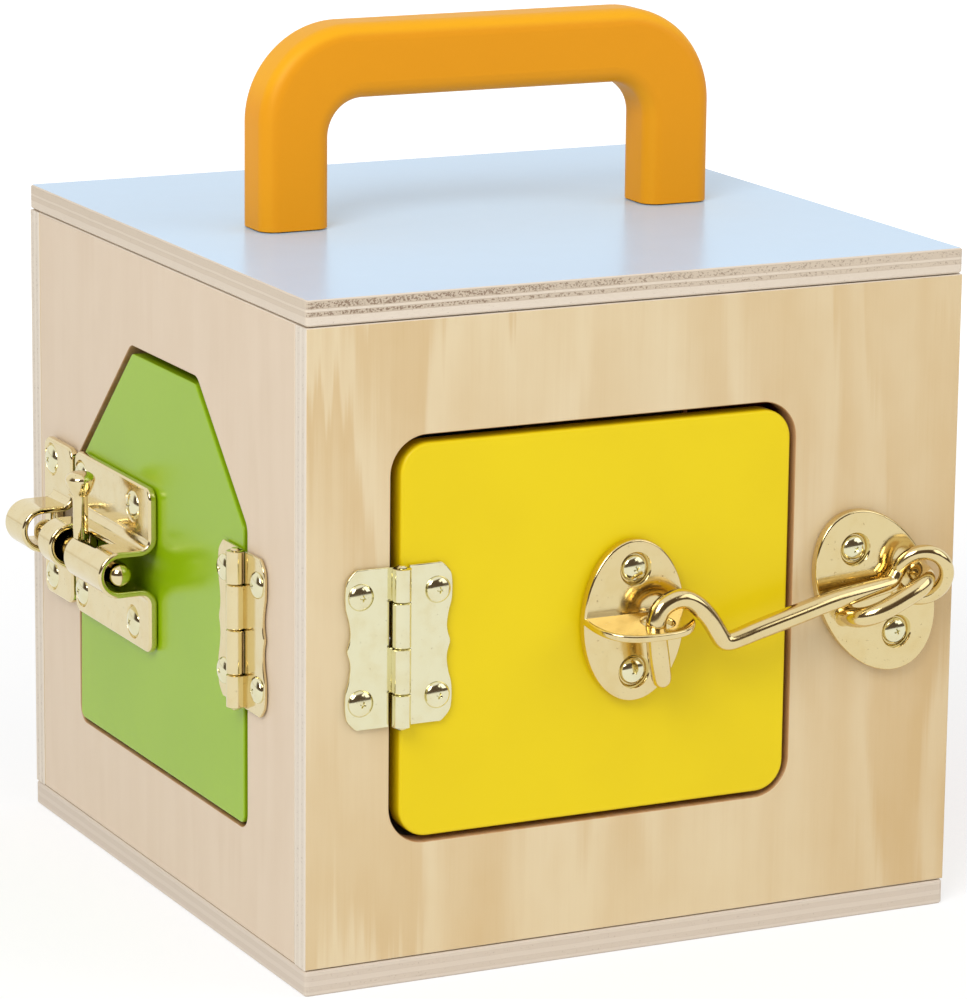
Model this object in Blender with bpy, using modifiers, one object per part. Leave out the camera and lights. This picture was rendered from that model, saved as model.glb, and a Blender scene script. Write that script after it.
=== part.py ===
"""Educational activity box: a plywood cube with a carrying handle and a latched door in each side.

Metres, +Z up, origin at the middle of the underside. The front faces -Y, the left side faces -X.
Each side has its own frame: x to the right as seen from outside, y up, z straight out of the wood.
"""
import math

import bmesh
import bpy
from mathutils import Vector

# Plywood box
BOX_WIDTH = 0.170
BOX_DEPTH = 0.170
WALL_HEIGHT = 0.150
PLY = 0.006
PANEL_CORNER = 0.0010
PANEL_ROUND = 0.0004
SEAM = 0.0003
OVERRUN = 0.002
LAP = 0.0001
ARC_STEPS = 4
RIM_STEPS = 1

# Carrying handle
HANDLE_SPAN = 0.1214
HANDLE_SHIFT = 0.0008
HANDLE_RISE = 0.0487
HANDLE_LEG = 0.0179
HANDLE_BAR = 0.0181
HANDLE_DEPTH = 0.0150
HANDLE_SET_BACK = 0.003
HANDLE_OUTER_RADIUS = 0.0237
HANDLE_INNER_RADIUS = 0.0090
HANDLE_ROUND = 0.004
HANDLE_STEPS = 7
HANDLE_SCREW_REACH = 0.022

# Doors
DOOR_GAP = 0.0019
DOOR_ROUND = 0.0010
YELLOW_OPENING_MIDDLE = -0.01175
YELLOW_OPENING_WIDTH = 0.1046
YELLOW_OPENING_BASE = 0.0335
YELLOW_OPENING_HEIGHT = 0.0957
YELLOW_CORNER = 0.009
GREEN_OPENING_MIDDLE = -0.0006
GREEN_OPENING_WIDTH = 0.1052
GREEN_OPENING_BASE = 0.0307
GREEN_LEFT_SHOULDER = 0.0989
GREEN_RIGHT_SHOULDER = 0.1033
GREEN_PEAK = 0.1330
GREEN_PEAK_LEFT = -0.0184
GREEN_PEAK_WIDTH = 0.0409
GREEN_CORNER = 0.004
RED_OPENING_WIDTH = 0.084
RED_OPENING_BASE = 0.033
RED_SPRING = 0.088
RED_CORNER = 0.003
BLUE_OPENING_WIDTH = 0.100
BLUE_OPENING_BASE = 0.033
BLUE_OPENING_HEIGHT = 0.096
BLUE_CHAMFER = 0.026
BLUE_CORNER = 0.002
ARCH_STEPS = 16

# Butt hinges
HINGE_LENGTH = 0.0375
YELLOW_HINGE_MIDDLE = 0.0809
GREEN_HINGE_MIDDLE = 0.0793
RED_HINGE_MIDDLE = 0.062
KNUCKLE_RADIUS = 0.0022
KNUCKLE_END_SHARE = 0.214
KNUCKLE_SIDES = 12
PIN_RADIUS = 0.0011
PIN_OVERHANG = 0.0006
HINGE_CLEARANCE = 0.0003
LEAF_THICKNESS = 0.0009
LEAF_REACH = 0.0135
LEAF_WAIST = 0.0123
LEAF_WAIST_UP = 0.0041
LEAF_WAVE = 0.0129
LEAF_TIP = 0.0119
HINGE_SCREW_OUT = 0.0096
HINGE_SCREW_UP = 0.0124

# Screws
SCREW_CLEARANCE = 0.0003
SCREW_SIDES = 10
HEAD_STEPS = 3
SHANK_RADIUS = 0.0012
HINGE_HEAD_RADIUS = 0.00275
HINGE_HEAD_HEIGHT = 0.0013
PLATE_HEAD_RADIUS = 0.0031
PLATE_HEAD_HEIGHT = 0.0015
BITE = 0.0048
SLOT_LENGTH_SHARE = 0.62
SLOT_WIDTH_SHARE = 0.17
SLOT_TAPER_SHARE = 0.8
SLOT_DEPTH_SHARE = 0.5
BUTTON_HEAD_RADIUS = 0.0034

# Hook latch on the front: staple plate, catch plate and cabin hook
STAPLE_SPOT_X = 0.06195
STAPLE_SPOT_Y = 0.0816
STAPLE_TILT = math.radians(29.4)
STAPLE_PLATE_HALF_LENGTH = 0.0212
STAPLE_PLATE_HALF_WIDTH = 0.0144
STAPLE_SCREW_OUT = 0.0122
STAPLE_WIRE_RADIUS = 0.0024
STAPLE_HALF_SPAN = 0.0108
STAPLE_LOOP_SPOT = (0.0010, -0.0013)
STAPLE_LOOP_TURN = math.radians(-5.2)
STAPLE_RISE = 0.0115
STAPLE_SQUARENESS = 3.0
STAPLE_STEPS = 14
CATCH_SPOT_X = -0.00275
CATCH_SPOT_Y = 0.0811
CATCH_HALF_LENGTH = 0.0186
CATCH_HALF_WIDTH = 0.0128
CATCH_SCREW_OUT = 0.01225
PLATE_THICKNESS = 0.0023
PLATE_ROUND = 0.0008
OVAL_POINTS = 24
SHELF_REACH = 0.0146
SHELF_THICKNESS = 0.0018
SHELF_ROOT_TOP = 0.0830
SHELF_SLOPE = math.radians(9)
SHELF_HALF_WIDTH = 0.0128
SHELF_SQUARENESS = 2.8
SHELF_STEPS = 18
SHELF_HOLE_RADIUS = 0.0041
SHELF_HOLE_OUT = 0.0088
SHELF_HOLE_ASIDE = 0.0028
SHELF_HOLE_SIDES = 16
HOOK_PIVOT = (0.07165, 0.0854, 0.0079)
HOOK_WIRE_RADIUS = 0.0020
HOOK_EYE_WIRE_RADIUS = 0.00145
HOOK_EYE_RADIUS = 0.0061
HOOK_EYE_TURN = math.radians(-21)
HOOK_EYE_TIP = math.radians(11)
# The hook's middle line from its pivot: right, up and out, then its share of the wire's radius
HOOK_PATH = ((-0.0052, -0.0010, -0.0016, 0.74), (-0.0120, -0.0019, -0.0008, 0.76), (-0.0242, -0.0034, 0.0001, 0.82),
             (-0.0450, -0.0082, 0.0013, 0.92), (-0.0487, -0.0088, 0.0015, 0.94), (-0.0535, -0.0094, 0.0016, 0.97),
             (-0.0560, -0.0078, 0.0016, 1.0), (-0.0585, -0.0038, 0.0016, 1.0), (-0.0615, -0.0006, 0.0016, 1.0),
             (-0.0648, 0.0014, 0.0016, 1.0), (-0.0681, 0.0014, 0.0016, 1.0), (-0.0711, -0.0003, 0.0016, 1.0),
             (-0.0724, -0.0034, 0.0016, 1.0), (-0.0721, -0.0079, 0.0016, 1.0), (-0.0715, -0.0125, 0.0016, 1.0),
             (-0.0707, -0.0169, 0.0016, 0.95))
HOOK_STEPS = 2
WIRE_RESOLUTION = 3
EYE_SEGMENTS = 20

# Barrel bolt on the left side; its places are counted from the green opening's left edge
BOLT_LINE = 0.0806
BOLT_AXIS_OUT = 0.0098
BOLT_PLATE_IN = 0.0033
BOLT_PLATE_WIDTH = 0.0487
BOLT_PLATE_HALF_HEIGHT = 0.0204
BOLT_PLATE_CORNER = 0.003
CORNER_STEPS = 3
BARREL_IN = 0.0111
BARREL_BORE = 0.0037
BARREL_WALL = 0.0016
BARREL_STEPS = 10
WEB_THICKNESS = 0.0011
BOLT_SCREW_UP = 0.0145
BOLT_SCREW_INNER = 0.0415
BOLT_SCREW_OUTER = 0.0079
ROD_RADIUS = 0.0027
ROD_TAIL = 0.0524
ROD_CHAMFER = 0.0006
ROD_SIDES = 16
DOME_STEPS = 4
STEM_AT = 0.0260
STEM_RADIUS = 0.0019
THROW = 0.0042
DRAW = 0.0138
TURN_NOTCH_DEPTH = 0.0016
# The knob's outline from its top down: radius, then height above the rod's middle
KNOB_PROFILE = ((0.0, 0.0202), (0.0023, 0.02), (0.0034, 0.0192), (0.0037, 0.0183), (0.0034, 0.0172), (0.0024, 0.0153),
                (STEM_RADIUS, 0.0142))
KEEPER_GAP = 0.0022
KEEPER_WIDTH = 0.0186
KEEPER_HALF_HEIGHT = 0.0200
KEEPER_DEPTH = 0.0125
KEEPER_SCREW_IN = 0.0053
KEEPER_SCREW_UP = 0.0148

# Turn buttons on the sides away from the front
BUTTON_LENGTH = 0.030
BUTTON_WIDTH = 0.011
BUTTON_CORNER = 0.0054
BUTTON_CORNER_STEPS = 6
BUTTON_THICKNESS = 0.0035
BUTTON_CLEAR = 0.0020

WELD = 1e-6
SHARP_ANGLE = math.radians(35)
QUARTER = math.pi / 2
RIGHT_SIDE_TURN = QUARTER
BACK_SIDE_TURN = 2 * QUARTER
LEFT_SIDE_TURN = -QUARTER

WALL_BASE = PLY + SEAM
WALL_TOP = PLY + WALL_HEIGHT - SEAM
BOX_HEIGHT = 2 * PLY + WALL_HEIGHT
HINGE_OUT = KNUCKLE_RADIUS + HINGE_CLEARANCE
LEAF_BASE = HINGE_CLEARANCE
LEAF_TOP = LEAF_BASE + LEAF_THICKNESS
PLATE_TOP = SEAM + PLATE_THICKNESS
BOLT_SHEET_TOP = SEAM + BARREL_WALL
GREEN_OPENING_LEFT = GREEN_OPENING_MIDDLE - GREEN_OPENING_WIDTH / 2

for old in list(bpy.data.objects):
    bpy.data.objects.remove(old, do_unlink=True)

collection = bpy.data.collections.new("activity_box")
bpy.context.scene.collection.children.link(collection)
cutters = bpy.data.collections.new("cutters")
bpy.context.scene.collection.children.link(cutters)


def material(name, colour, roughness, metallic=0.0):
    """A plain Principled material."""
    made = bpy.data.materials.new(name)
    made.use_nodes = True
    shader = made.node_tree.nodes["Principled BSDF"]
    shader.inputs["Base Color"].default_value = (*colour, 1)
    shader.inputs["Roughness"].default_value = roughness
    shader.inputs["Metallic"].default_value = metallic
    return made


BIRCH = material("birch_plywood", (0.73, 0.58, 0.38), 0.6)
BLUE_TOP = material("pale_blue_paint", (0.61, 0.74, 0.87), 0.35)
ORANGE = material("orange_lacquer", (0.78, 0.31, 0.02), 0.3)
YELLOW = material("yellow_lacquer", (0.83, 0.64, 0.02), 0.35)
GREEN = material("green_lacquer", (0.34, 0.52, 0.09), 0.3)
RED = material("red_lacquer", (0.62, 0.07, 0.05), 0.3)
BLUE = material("blue_lacquer", (0.06, 0.25, 0.58), 0.3)
BRASS = material("brass_plate", (0.86, 0.72, 0.45), 0.22, 1.0)


class Carrier:
    """An empty that carries pieces; a moving one stands on its joint's axis."""

    def __init__(self, name, parent=None, spot=(0, 0, 0), turn=(0, 0, 0)):
        self.empty = bpy.data.objects.new(name, None)
        self.empty.location = spot
        self.empty.rotation_euler = turn
        self.empty.parent = parent.empty if parent else None
        collection.objects.link(self.empty)

    def hold(self, piece, spot=(0, 0, 0), turn=(0, 0, 0)):
        piece.location = spot
        piece.rotation_euler = turn
        piece.parent = self.empty
        return piece


def add_object(name, mesh, finish=None):
    """An object of the model, or a hidden cutter when it has no finish."""
    piece = bpy.data.objects.new(name, mesh)
    if finish is None:
        cutters.objects.link(piece)
        piece.hide_render = True
        piece.display_type = "WIRE"
        return piece
    collection.objects.link(piece)
    if not mesh.materials:
        mesh.materials.append(finish)
    return piece


def mesh_from(source, name):
    """The evaluated, welded mesh of a curve or a modified object, which is then removed."""
    bpy.context.view_layer.update()
    graph = bpy.context.evaluated_depsgraph_get()
    mesh = bpy.data.meshes.new_from_object(source.evaluated_get(graph))
    mesh.name = name
    bpy.data.objects.remove(source, do_unlink=True)
    shape = bmesh.new()
    shape.from_mesh(mesh)
    bmesh.ops.remove_doubles(shape, verts=shape.verts, dist=WELD)
    bmesh.ops.recalc_face_normals(shape, faces=shape.faces)
    shape.to_mesh(mesh)
    shape.free()
    return mesh


def box(name, size, finish=None):
    """A box centred on its own origin."""
    shape = bmesh.new()
    bmesh.ops.create_cube(shape, size=1.0)
    bmesh.ops.scale(shape, vec=size, verts=shape.verts)
    mesh = bpy.data.meshes.new(name)
    shape.to_mesh(mesh)
    shape.free()
    return add_object(name, mesh, finish)


def cylinder(name, radius, length, sides=SCREW_SIDES, finish=None):
    """A cylinder along its own Z."""
    shape = bmesh.new()
    bmesh.ops.create_cone(shape, cap_ends=True, segments=sides, radius1=radius, radius2=radius, depth=length)
    mesh = bpy.data.meshes.new(name)
    shape.to_mesh(mesh)
    shape.free()
    piece = add_object(name, mesh, finish)
    smooth(piece)
    return piece


def smooth(piece):
    piece.data.shade_smooth()
    piece.data.set_sharp_from_angle(angle=SHARP_ANGLE)


def flat_piece(name, rings, thickness, finish=None, rounding=0.0, steps=0):
    """A flat outline with holes, centred on its own XY plane, its rims rounded when asked."""
    curve = bpy.data.curves.new(name, "CURVE")
    curve.dimensions = "2D"
    curve.fill_mode = "BOTH"
    curve.extrude = thickness / 2 - rounding
    curve.bevel_depth = rounding
    curve.bevel_resolution = steps
    curve.offset = -rounding
    for ring in rings:
        spline = curve.splines.new("POLY")
        spline.points.add(len(ring) - 1)
        for point, (x, y) in zip(spline.points, ring):
            point.co = (x, y, 0, 1)
        spline.use_cyclic_u = True
    source = bpy.data.objects.new(name, curve)
    collection.objects.link(source)
    piece = add_object(name, mesh_from(source, name), finish)
    smooth(piece)
    return piece


def turned(name, profile, sides=SCREW_SIDES, finish=None):
    """A profile of (radius, height) points, top to bottom down its outer side, turned about Z."""
    mesh = bpy.data.meshes.new(name)
    mesh.from_pydata([(radius, 0, height) for radius, height in profile],
                     [(k, k + 1) for k in range(len(profile) - 1)], [])
    source = bpy.data.objects.new(name, mesh)
    collection.objects.link(source)
    screw = source.modifiers.new("turn", "SCREW")
    screw.steps = sides
    screw.render_steps = sides
    screw.use_merge_vertices = True
    screw.merge_threshold = WELD
    piece = add_object(name, mesh_from(source, name), finish)
    smooth(piece)
    return piece


def wire(name, points, radius, finish=None):
    """A round wire with closed ends through points of x, y, z and the share of the radius there."""
    curve = bpy.data.curves.new(name, "CURVE")
    curve.dimensions = "3D"
    curve.bevel_depth = radius
    curve.bevel_resolution = WIRE_RESOLUTION
    curve.use_fill_caps = True
    spline = curve.splines.new("POLY")
    spline.points.add(len(points) - 1)
    for point, (x, y, z, share) in zip(spline.points, points):
        point.co = (x, y, z, 1)
        point.radius = share
    source = bpy.data.objects.new(name, curve)
    collection.objects.link(source)
    piece = add_object(name, mesh_from(source, name), finish)
    smooth(piece)
    return piece


def boolean(target, tool, operation):
    """Cut or join the tool, which shares the target's parent frame."""
    change = target.modifiers.new(tool.name, "BOOLEAN")
    change.operation = operation
    change.solver = "EXACT"
    change.object = tool
    return target


def cut(target, tool, carrier, spot=(0, 0, 0), turn=(0, 0, 0)):
    carrier.hold(tool, spot, turn)
    return boolean(target, tool, "DIFFERENCE")


def join(target, tool, carrier, spot=(0, 0, 0), turn=(0, 0, 0)):
    carrier.hold(tool, spot, turn)
    return boolean(target, tool, "UNION")


def drill(target, carrier, spots, radius, top, depth):
    """Round holes from the height top down to depth, along the carrier's Z."""
    shape = bmesh.new()
    for x, y in spots:
        made = bmesh.ops.create_cone(shape, cap_ends=True, segments=SCREW_SIDES, radius1=radius,
                                     radius2=radius, depth=top - depth)
        bmesh.ops.translate(shape, vec=(x, y, (top + depth) / 2), verts=made["verts"])
    mesh = bpy.data.meshes.new(target.name + "_holes")
    shape.to_mesh(mesh)
    shape.free()
    return cut(target, add_object(mesh.name, mesh), carrier)


def circle(x, y, radius, points=SCREW_SIDES):
    """Points round a circle."""
    return [(x + radius * math.cos(4 * QUARTER * k / points), y + radius * math.sin(4 * QUARTER * k / points))
            for k in range(points)]


def oval(half_width, half_length, points=OVAL_POINTS):
    return [(half_width * math.cos(4 * QUARTER * k / points), half_length * math.sin(4 * QUARTER * k / points))
            for k in range(points)]


def rounded(corners, radii, steps=ARC_STEPS):
    """A ring of straight sides with an arc at each corner; radii is one radius or one for each corner."""
    if isinstance(radii, float):
        radii = [radii] * len(corners)
    ring = []
    for k, radius in enumerate(radii):
        here = Vector(corners[k])
        if radius == 0:
            ring.append(tuple(here))
            continue
        back = (Vector(corners[k - 1]) - here).normalized()
        ahead = (Vector(corners[(k + 1) % len(corners)]) - here).normalized()
        half = back.angle(ahead) / 2
        centre = here + (back + ahead).normalized() * radius / math.sin(half)
        start = here + back * radius / math.tan(half) - centre
        end = here + ahead * radius / math.tan(half) - centre
        sweep = start.angle_signed(end)
        for step in range(steps + 1):
            angle = -sweep * step / steps
            ring.append((centre.x + start.x * math.cos(angle) - start.y * math.sin(angle),
                         centre.y + start.x * math.sin(angle) + start.y * math.cos(angle)))
    return ring


def inset(corners, gap):
    """The corners of a convex outline, listed anticlockwise, moved in by the gap."""
    moved = []
    for k, corner in enumerate(corners):
        here = Vector(corner)
        back = (here - Vector(corners[k - 1])).normalized()
        ahead = (Vector(corners[(k + 1) % len(corners)]) - here).normalized()
        inward_back = Vector((-back.y, back.x))
        inward_ahead = Vector((-ahead.y, ahead.x))
        moved.append(tuple(here + (inward_back + inward_ahead) * gap / (1 + inward_back.dot(inward_ahead))))
    return moved


def rectangle(left, base, width, height):
    return [(left, base), (left + width, base), (left + width, base + height), (left, base + height)]


def screw_mesh(name, head_radius, head_height, reach, shank_radius=SHANK_RADIUS):
    """A domed cross-head screw with its head's underside at z = 0; all screws of a kind share it."""
    angles = [QUARTER * k / HEAD_STEPS for k in range(HEAD_STEPS + 1)]
    dome = [(head_radius * math.sin(angle), head_height * math.cos(angle)) for angle in angles]
    body = turned(name, dome + [(shank_radius, 0), (shank_radius, -reach), (0, -reach)], finish=BRASS)
    arm = head_radius * SLOT_LENGTH_SHARE
    half = head_radius * SLOT_WIDTH_SHARE
    tip = half * SLOT_TAPER_SHARE
    plus = [(arm, -tip), (arm, tip), (half, half), (tip, arm), (-tip, arm), (-half, half),
            (-arm, tip), (-arm, -tip), (-half, -half), (-tip, -arm), (tip, -arm), (half, -half)]
    recess = flat_piece(name + "_recess", [plus], 2 * head_height * SLOT_DEPTH_SHARE)
    recess.location = (0, 0, head_height)
    boolean(body, recess, "DIFFERENCE")
    mesh = mesh_from(body, name)
    bpy.data.objects.remove(recess, do_unlink=True)
    return mesh


def add_screws(base_name, names, mesh, carrier, spots, height):
    for name, (x, y) in zip(names, spots):
        carrier.hold(add_object(base_name + name, mesh, BRASS), (x, y, height))


HINGE_SCREW = screw_mesh("hinge_screw", HINGE_HEAD_RADIUS, HINGE_HEAD_HEIGHT, BITE + LEAF_TOP)
PLATE_SCREW = screw_mesh("plate_screw", PLATE_HEAD_RADIUS, PLATE_HEAD_HEIGHT, BITE + PLATE_TOP)
BOLT_SCREW = screw_mesh("bolt_screw", PLATE_HEAD_RADIUS, PLATE_HEAD_HEIGHT, BITE + BOLT_SHEET_TOP)
BUTTON_SCREW = screw_mesh("button_screw", BUTTON_HEAD_RADIUS, PLATE_HEAD_HEIGHT, BITE + BUTTON_THICKNESS)
HANDLE_SCREW = screw_mesh("handle_screw", BUTTON_HEAD_RADIUS, PLATE_HEAD_HEIGHT, PLY + HANDLE_SCREW_REACH)

front_side = Carrier("front_side", None, (0, -BOX_DEPTH / 2, 0), (QUARTER, 0, 0))
right_side = Carrier("right_side", None, (BOX_WIDTH / 2, 0, 0), (QUARTER, 0, RIGHT_SIDE_TURN))
back_side = Carrier("back_side", None, (0, BOX_DEPTH / 2, 0), (QUARTER, 0, BACK_SIDE_TURN))
left_side = Carrier("left_side", None, (-BOX_WIDTH / 2, 0, 0), (QUARTER, 0, LEFT_SIDE_TURN))
plan = Carrier("plan")


def wall(name, side, width, opening, corner_radii):
    """A wall panel with its door opening, its outer face on the side's plane."""
    rim = rounded(rectangle(-width / 2, WALL_BASE, width, WALL_TOP - WALL_BASE), PANEL_ROUND, RIM_STEPS)
    hole = rounded(opening, corner_radii)
    panel = flat_piece(name, [rim, hole], PLY, BIRCH, PANEL_ROUND)
    return side.hold(panel, (0, 0, -PLY / 2))


def lid(name, height, finish):
    """The top or the bottom panel."""
    rim = rounded(rectangle(-BOX_WIDTH / 2, -BOX_DEPTH / 2, BOX_WIDTH, BOX_DEPTH), PANEL_CORNER, CORNER_STEPS)
    return plan.hold(flat_piece(name, [rim], PLY, finish, PANEL_ROUND), (0, 0, height + PLY / 2))


def leaf(name, hinge, hand, segments):
    """A hinge leaf to the right (hand 1) or left (hand -1) of the pin, with its own knuckles."""
    half = HINGE_LENGTH / 2
    inner = HINGE_OUT
    edge = [(inner, -half), (LEAF_TIP, -half), (LEAF_REACH, -HINGE_SCREW_UP), (LEAF_WAIST, -LEAF_WAIST_UP),
            (LEAF_WAVE, 0), (LEAF_WAIST, LEAF_WAIST_UP), (LEAF_REACH, HINGE_SCREW_UP),
            (LEAF_TIP, half), (inner, half)]
    rings = [[(hand * x, y) for x, y in edge]]
    hole_radius = SHANK_RADIUS + SCREW_CLEARANCE
    for side in (-1, 1):
        rings.append(circle(hand * HINGE_SCREW_OUT, side * HINGE_SCREW_UP, hole_radius))
    middle = (LEAF_BASE + LEAF_TOP) / 2 - HINGE_OUT
    made = hinge.hold(flat_piece(name, rings, LEAF_THICKNESS, BRASS), (0, 0, middle))
    for number, (low, high) in enumerate(segments):
        length = high - low - HINGE_CLEARANCE
        at = (low + high) / 2
        web = box(f"{name}_web_{number}", (inner + LEAF_THICKNESS, length, LEAF_THICKNESS))
        join(made, web, hinge, (hand * (inner + LEAF_THICKNESS) / 2, at, middle))
        knuckle = cylinder(f"{name}_knuckle_{number}", KNUCKLE_RADIUS, length, KNUCKLE_SIDES)
        join(made, knuckle, hinge, (0, at, 0), (QUARTER, 0, 0))
    bore = cylinder(name + "_bore", PIN_RADIUS + HINGE_CLEARANCE, HINGE_LENGTH + OVERRUN)
    return cut(made, bore, hinge, turn=(QUARTER, 0, 0))


def add_hinge(colour, side, hinge, frame_hand, frame_has_top):
    """Both leaves and the pin. The frame's leaf stays on the box, the door's leaf swings with it."""
    ends = HINGE_LENGTH * KNUCKLE_END_SHARE
    half = HINGE_LENGTH / 2
    levels = [half, half - ends, 0, ends - half, -half]
    segments = [(low, high) for high, low in zip(levels, levels[1:])]
    top_set = segments[0::2]
    other_set = segments[1::2]
    frame_seat = Carrier(colour + "_frame_seat", side, hinge.empty.location)
    leaf(colour + "_frame_leaf", frame_seat, frame_hand, top_set if frame_has_top else other_set)
    leaf(colour + "_door_leaf", hinge, -frame_hand, other_set if frame_has_top else top_set)
    pin = cylinder(colour + "_hinge_pin", PIN_RADIUS, HINGE_LENGTH + 2 * PIN_OVERHANG, finish=BRASS)
    frame_seat.hold(pin, turn=(QUARTER, 0, 0))
    return frame_seat


def door(name, corners, radii, hinge, finish):
    """A flush door that fills the opening's corners less the gap, carried on the hinge's axis."""
    radii = [max(radius - DOOR_GAP / 2, DOOR_ROUND) if radius else radius for radius in radii]
    panel = flat_piece(name, [rounded(inset(corners, DOOR_GAP), radii)], PLY, finish, DOOR_ROUND, RIM_STEPS)
    return hinge.hold(panel, -hinge.empty.location + Vector((0, 0, -PLY / 2)))


def hinge_holes(hand):
    """Where a leaf's two screws stand, from the hinge's centre."""
    return [(hand * HINGE_SCREW_OUT, HINGE_SCREW_UP), (hand * HINGE_SCREW_OUT, -HINGE_SCREW_UP)]


def drill_for_screws(target, carrier, spots):
    """Blind pilot holes in a side's wood; the carrier stands on the side, or out from its face."""
    face = -carrier.empty.location.z if carrier.empty.parent else 0
    drill(target, carrier, spots, SHANK_RADIUS + SCREW_CLEARANCE, face + OVERRUN, face - BITE - SCREW_CLEARANCE)


def build_box():
    lid("bottom_panel", 0, BIRCH)
    top = lid("top_panel", PLY + WALL_HEIGHT, BLUE_TOP)
    foot = HANDLE_SPAN / 2 - HANDLE_LEG / 2
    spots = [(HANDLE_SHIFT - foot, HANDLE_SET_BACK), (HANDLE_SHIFT + foot, HANDLE_SET_BACK)]
    drill(top, plan, spots, SHANK_RADIUS + SCREW_CLEARANCE, BOX_HEIGHT + OVERRUN, PLY + WALL_HEIGHT - OVERRUN)
    return spots


def build_handle(spots):
    half = HANDLE_SPAN / 2
    inner_half = half - HANDLE_LEG
    under = HANDLE_RISE - HANDLE_BAR
    buried = HANDLE_LEG
    corners = [(-half, -buried), (-inner_half, -buried), (-inner_half, under), (inner_half, under),
               (inner_half, -buried), (half, -buried), (half, HANDLE_RISE), (-half, HANDLE_RISE)]
    radii = [0, 0, HANDLE_INNER_RADIUS, HANDLE_INNER_RADIUS, 0, 0, HANDLE_OUTER_RADIUS, HANDLE_OUTER_RADIUS]
    seat = Carrier("handle_seat", None, (HANDLE_SHIFT, HANDLE_SET_BACK, BOX_HEIGHT + SEAM), (QUARTER, 0, 0))
    outline = rounded(corners, radii, HANDLE_STEPS)
    handle = seat.hold(flat_piece("carry_handle", [outline], HANDLE_DEPTH, ORANGE, HANDLE_ROUND, RIM_STEPS))
    foot_cut = box("handle_foot_cut", (HANDLE_SPAN + HANDLE_LEG, 2 * buried, 2 * HANDLE_DEPTH))
    cut(handle, foot_cut, seat, (0, -buried, 0))
    for side, (x, y) in zip(("left", "right"), spots):
        hole = cylinder(f"handle_{side}_hole", SHANK_RADIUS + SCREW_CLEARANCE, 2 * HANDLE_SCREW_REACH)
        cut(handle, hole, seat, (x - HANDLE_SHIFT, 0, 0), (QUARTER, 0, 0))
        screw = add_object(f"handle_screw_{side}", HANDLE_SCREW, BRASS)
        plan.hold(screw, (x, y, PLY + WALL_HEIGHT - SEAM), (2 * QUARTER, 0, 0))


def build_hook_latch(panel, yellow_door, hinge):
    """Staple plate on the box, catch plate on the door and the cabin hook between them."""
    seat = Carrier("staple_seat", front_side, (STAPLE_SPOT_X, STAPLE_SPOT_Y, 0), (0, 0, STAPLE_TILT))
    hole_radius = SHANK_RADIUS + SCREW_CLEARANCE
    spots = [(0, STAPLE_SCREW_OUT), (0, -STAPLE_SCREW_OUT)]
    rings = [oval(STAPLE_PLATE_HALF_WIDTH, STAPLE_PLATE_HALF_LENGTH)] + [circle(x, y, hole_radius) for x, y in spots]
    plate = flat_piece("staple_plate", rings, PLATE_THICKNESS, BRASS, PLATE_ROUND)
    seat.hold(plate, (0, 0, SEAM + PLATE_THICKNESS / 2))
    root = SEAM + PLATE_THICKNESS / 2
    loop = [(x, 0, root + out, 1) for x, out in half_ring(STAPLE_HALF_SPAN, STAPLE_RISE - root, STAPLE_SQUARENESS,
                                                          STAPLE_STEPS)]
    join(plate, wire("staple_loop", loop, STAPLE_WIRE_RADIUS), seat, (*STAPLE_LOOP_SPOT, 0), (0, 0, STAPLE_LOOP_TURN))
    drill_for_screws(panel, seat, spots)
    add_screws("staple_screw_", ("upper", "lower"), PLATE_SCREW, seat, spots, PLATE_TOP + SEAM)

    home = Vector((CATCH_SPOT_X, CATCH_SPOT_Y, 0)) - hinge.empty.location
    catch_seat = Carrier("catch_seat", hinge, home)
    spots = [(0, CATCH_SCREW_OUT), (0, -CATCH_SCREW_OUT)]
    rings = [oval(CATCH_HALF_WIDTH, CATCH_HALF_LENGTH)] + [circle(x, y, hole_radius) for x, y in spots]
    plate = flat_piece("catch_plate", rings, PLATE_THICKNESS, BRASS, PLATE_ROUND)
    catch_seat.hold(plate, (0, 0, SEAM + PLATE_THICKNESS / 2))
    rim = half_ring(SHELF_HALF_WIDTH, SHELF_REACH - root, SHELF_SQUARENESS, SHELF_STEPS)
    hole = circle(SHELF_HOLE_ASIDE, SHELF_HOLE_OUT - root, SHELF_HOLE_RADIUS, SHELF_HOLE_SIDES)
    shelf = flat_piece("catch_shelf", [rim, hole], SHELF_THICKNESS, None, PLATE_ROUND / 2)
    shelf_root = (0, SHELF_ROOT_TOP - SHELF_THICKNESS / 2 - CATCH_SPOT_Y, root)
    join(plate, shelf, catch_seat, shelf_root, (QUARTER + SHELF_SLOPE, 0, 0))
    drill(yellow_door, catch_seat, spots, hole_radius, OVERRUN, -BITE - SCREW_CLEARANCE)
    add_screws("catch_screw_", ("upper", "lower"), PLATE_SCREW, catch_seat, spots, PLATE_TOP + SEAM)
    build_hook()


def half_ring(half_width, reach, squareness, steps):
    """Points along a half ring from right to left, squarer than a half circle when squareness is above 2."""
    power = 2 / squareness
    points = []
    for k in range(steps + 1):
        across = math.cos(2 * QUARTER * k / steps)
        out = max(math.sin(2 * QUARTER * k / steps), 0)
        points.append((half_width * math.copysign(abs(across) ** power, across), reach * out ** power))
    return points


def smooth_path(knots, steps=HOOK_STEPS):
    """Points on a smooth curve through the knots."""
    points = []
    for k in range(len(knots) - 1):
        before = knots[max(k - 1, 0)]
        start = knots[k]
        end = knots[k + 1]
        after = knots[min(k + 2, len(knots) - 1)]
        for step in range(steps):
            t = step / steps
            points.append(0.5 * (2 * start + (end - before) * t + (2 * before - 5 * start + 4 * end - after) * t ** 2
                                 + (3 * start - before - 3 * end + after) * t ** 3))
    return points + [knots[-1]]


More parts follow.
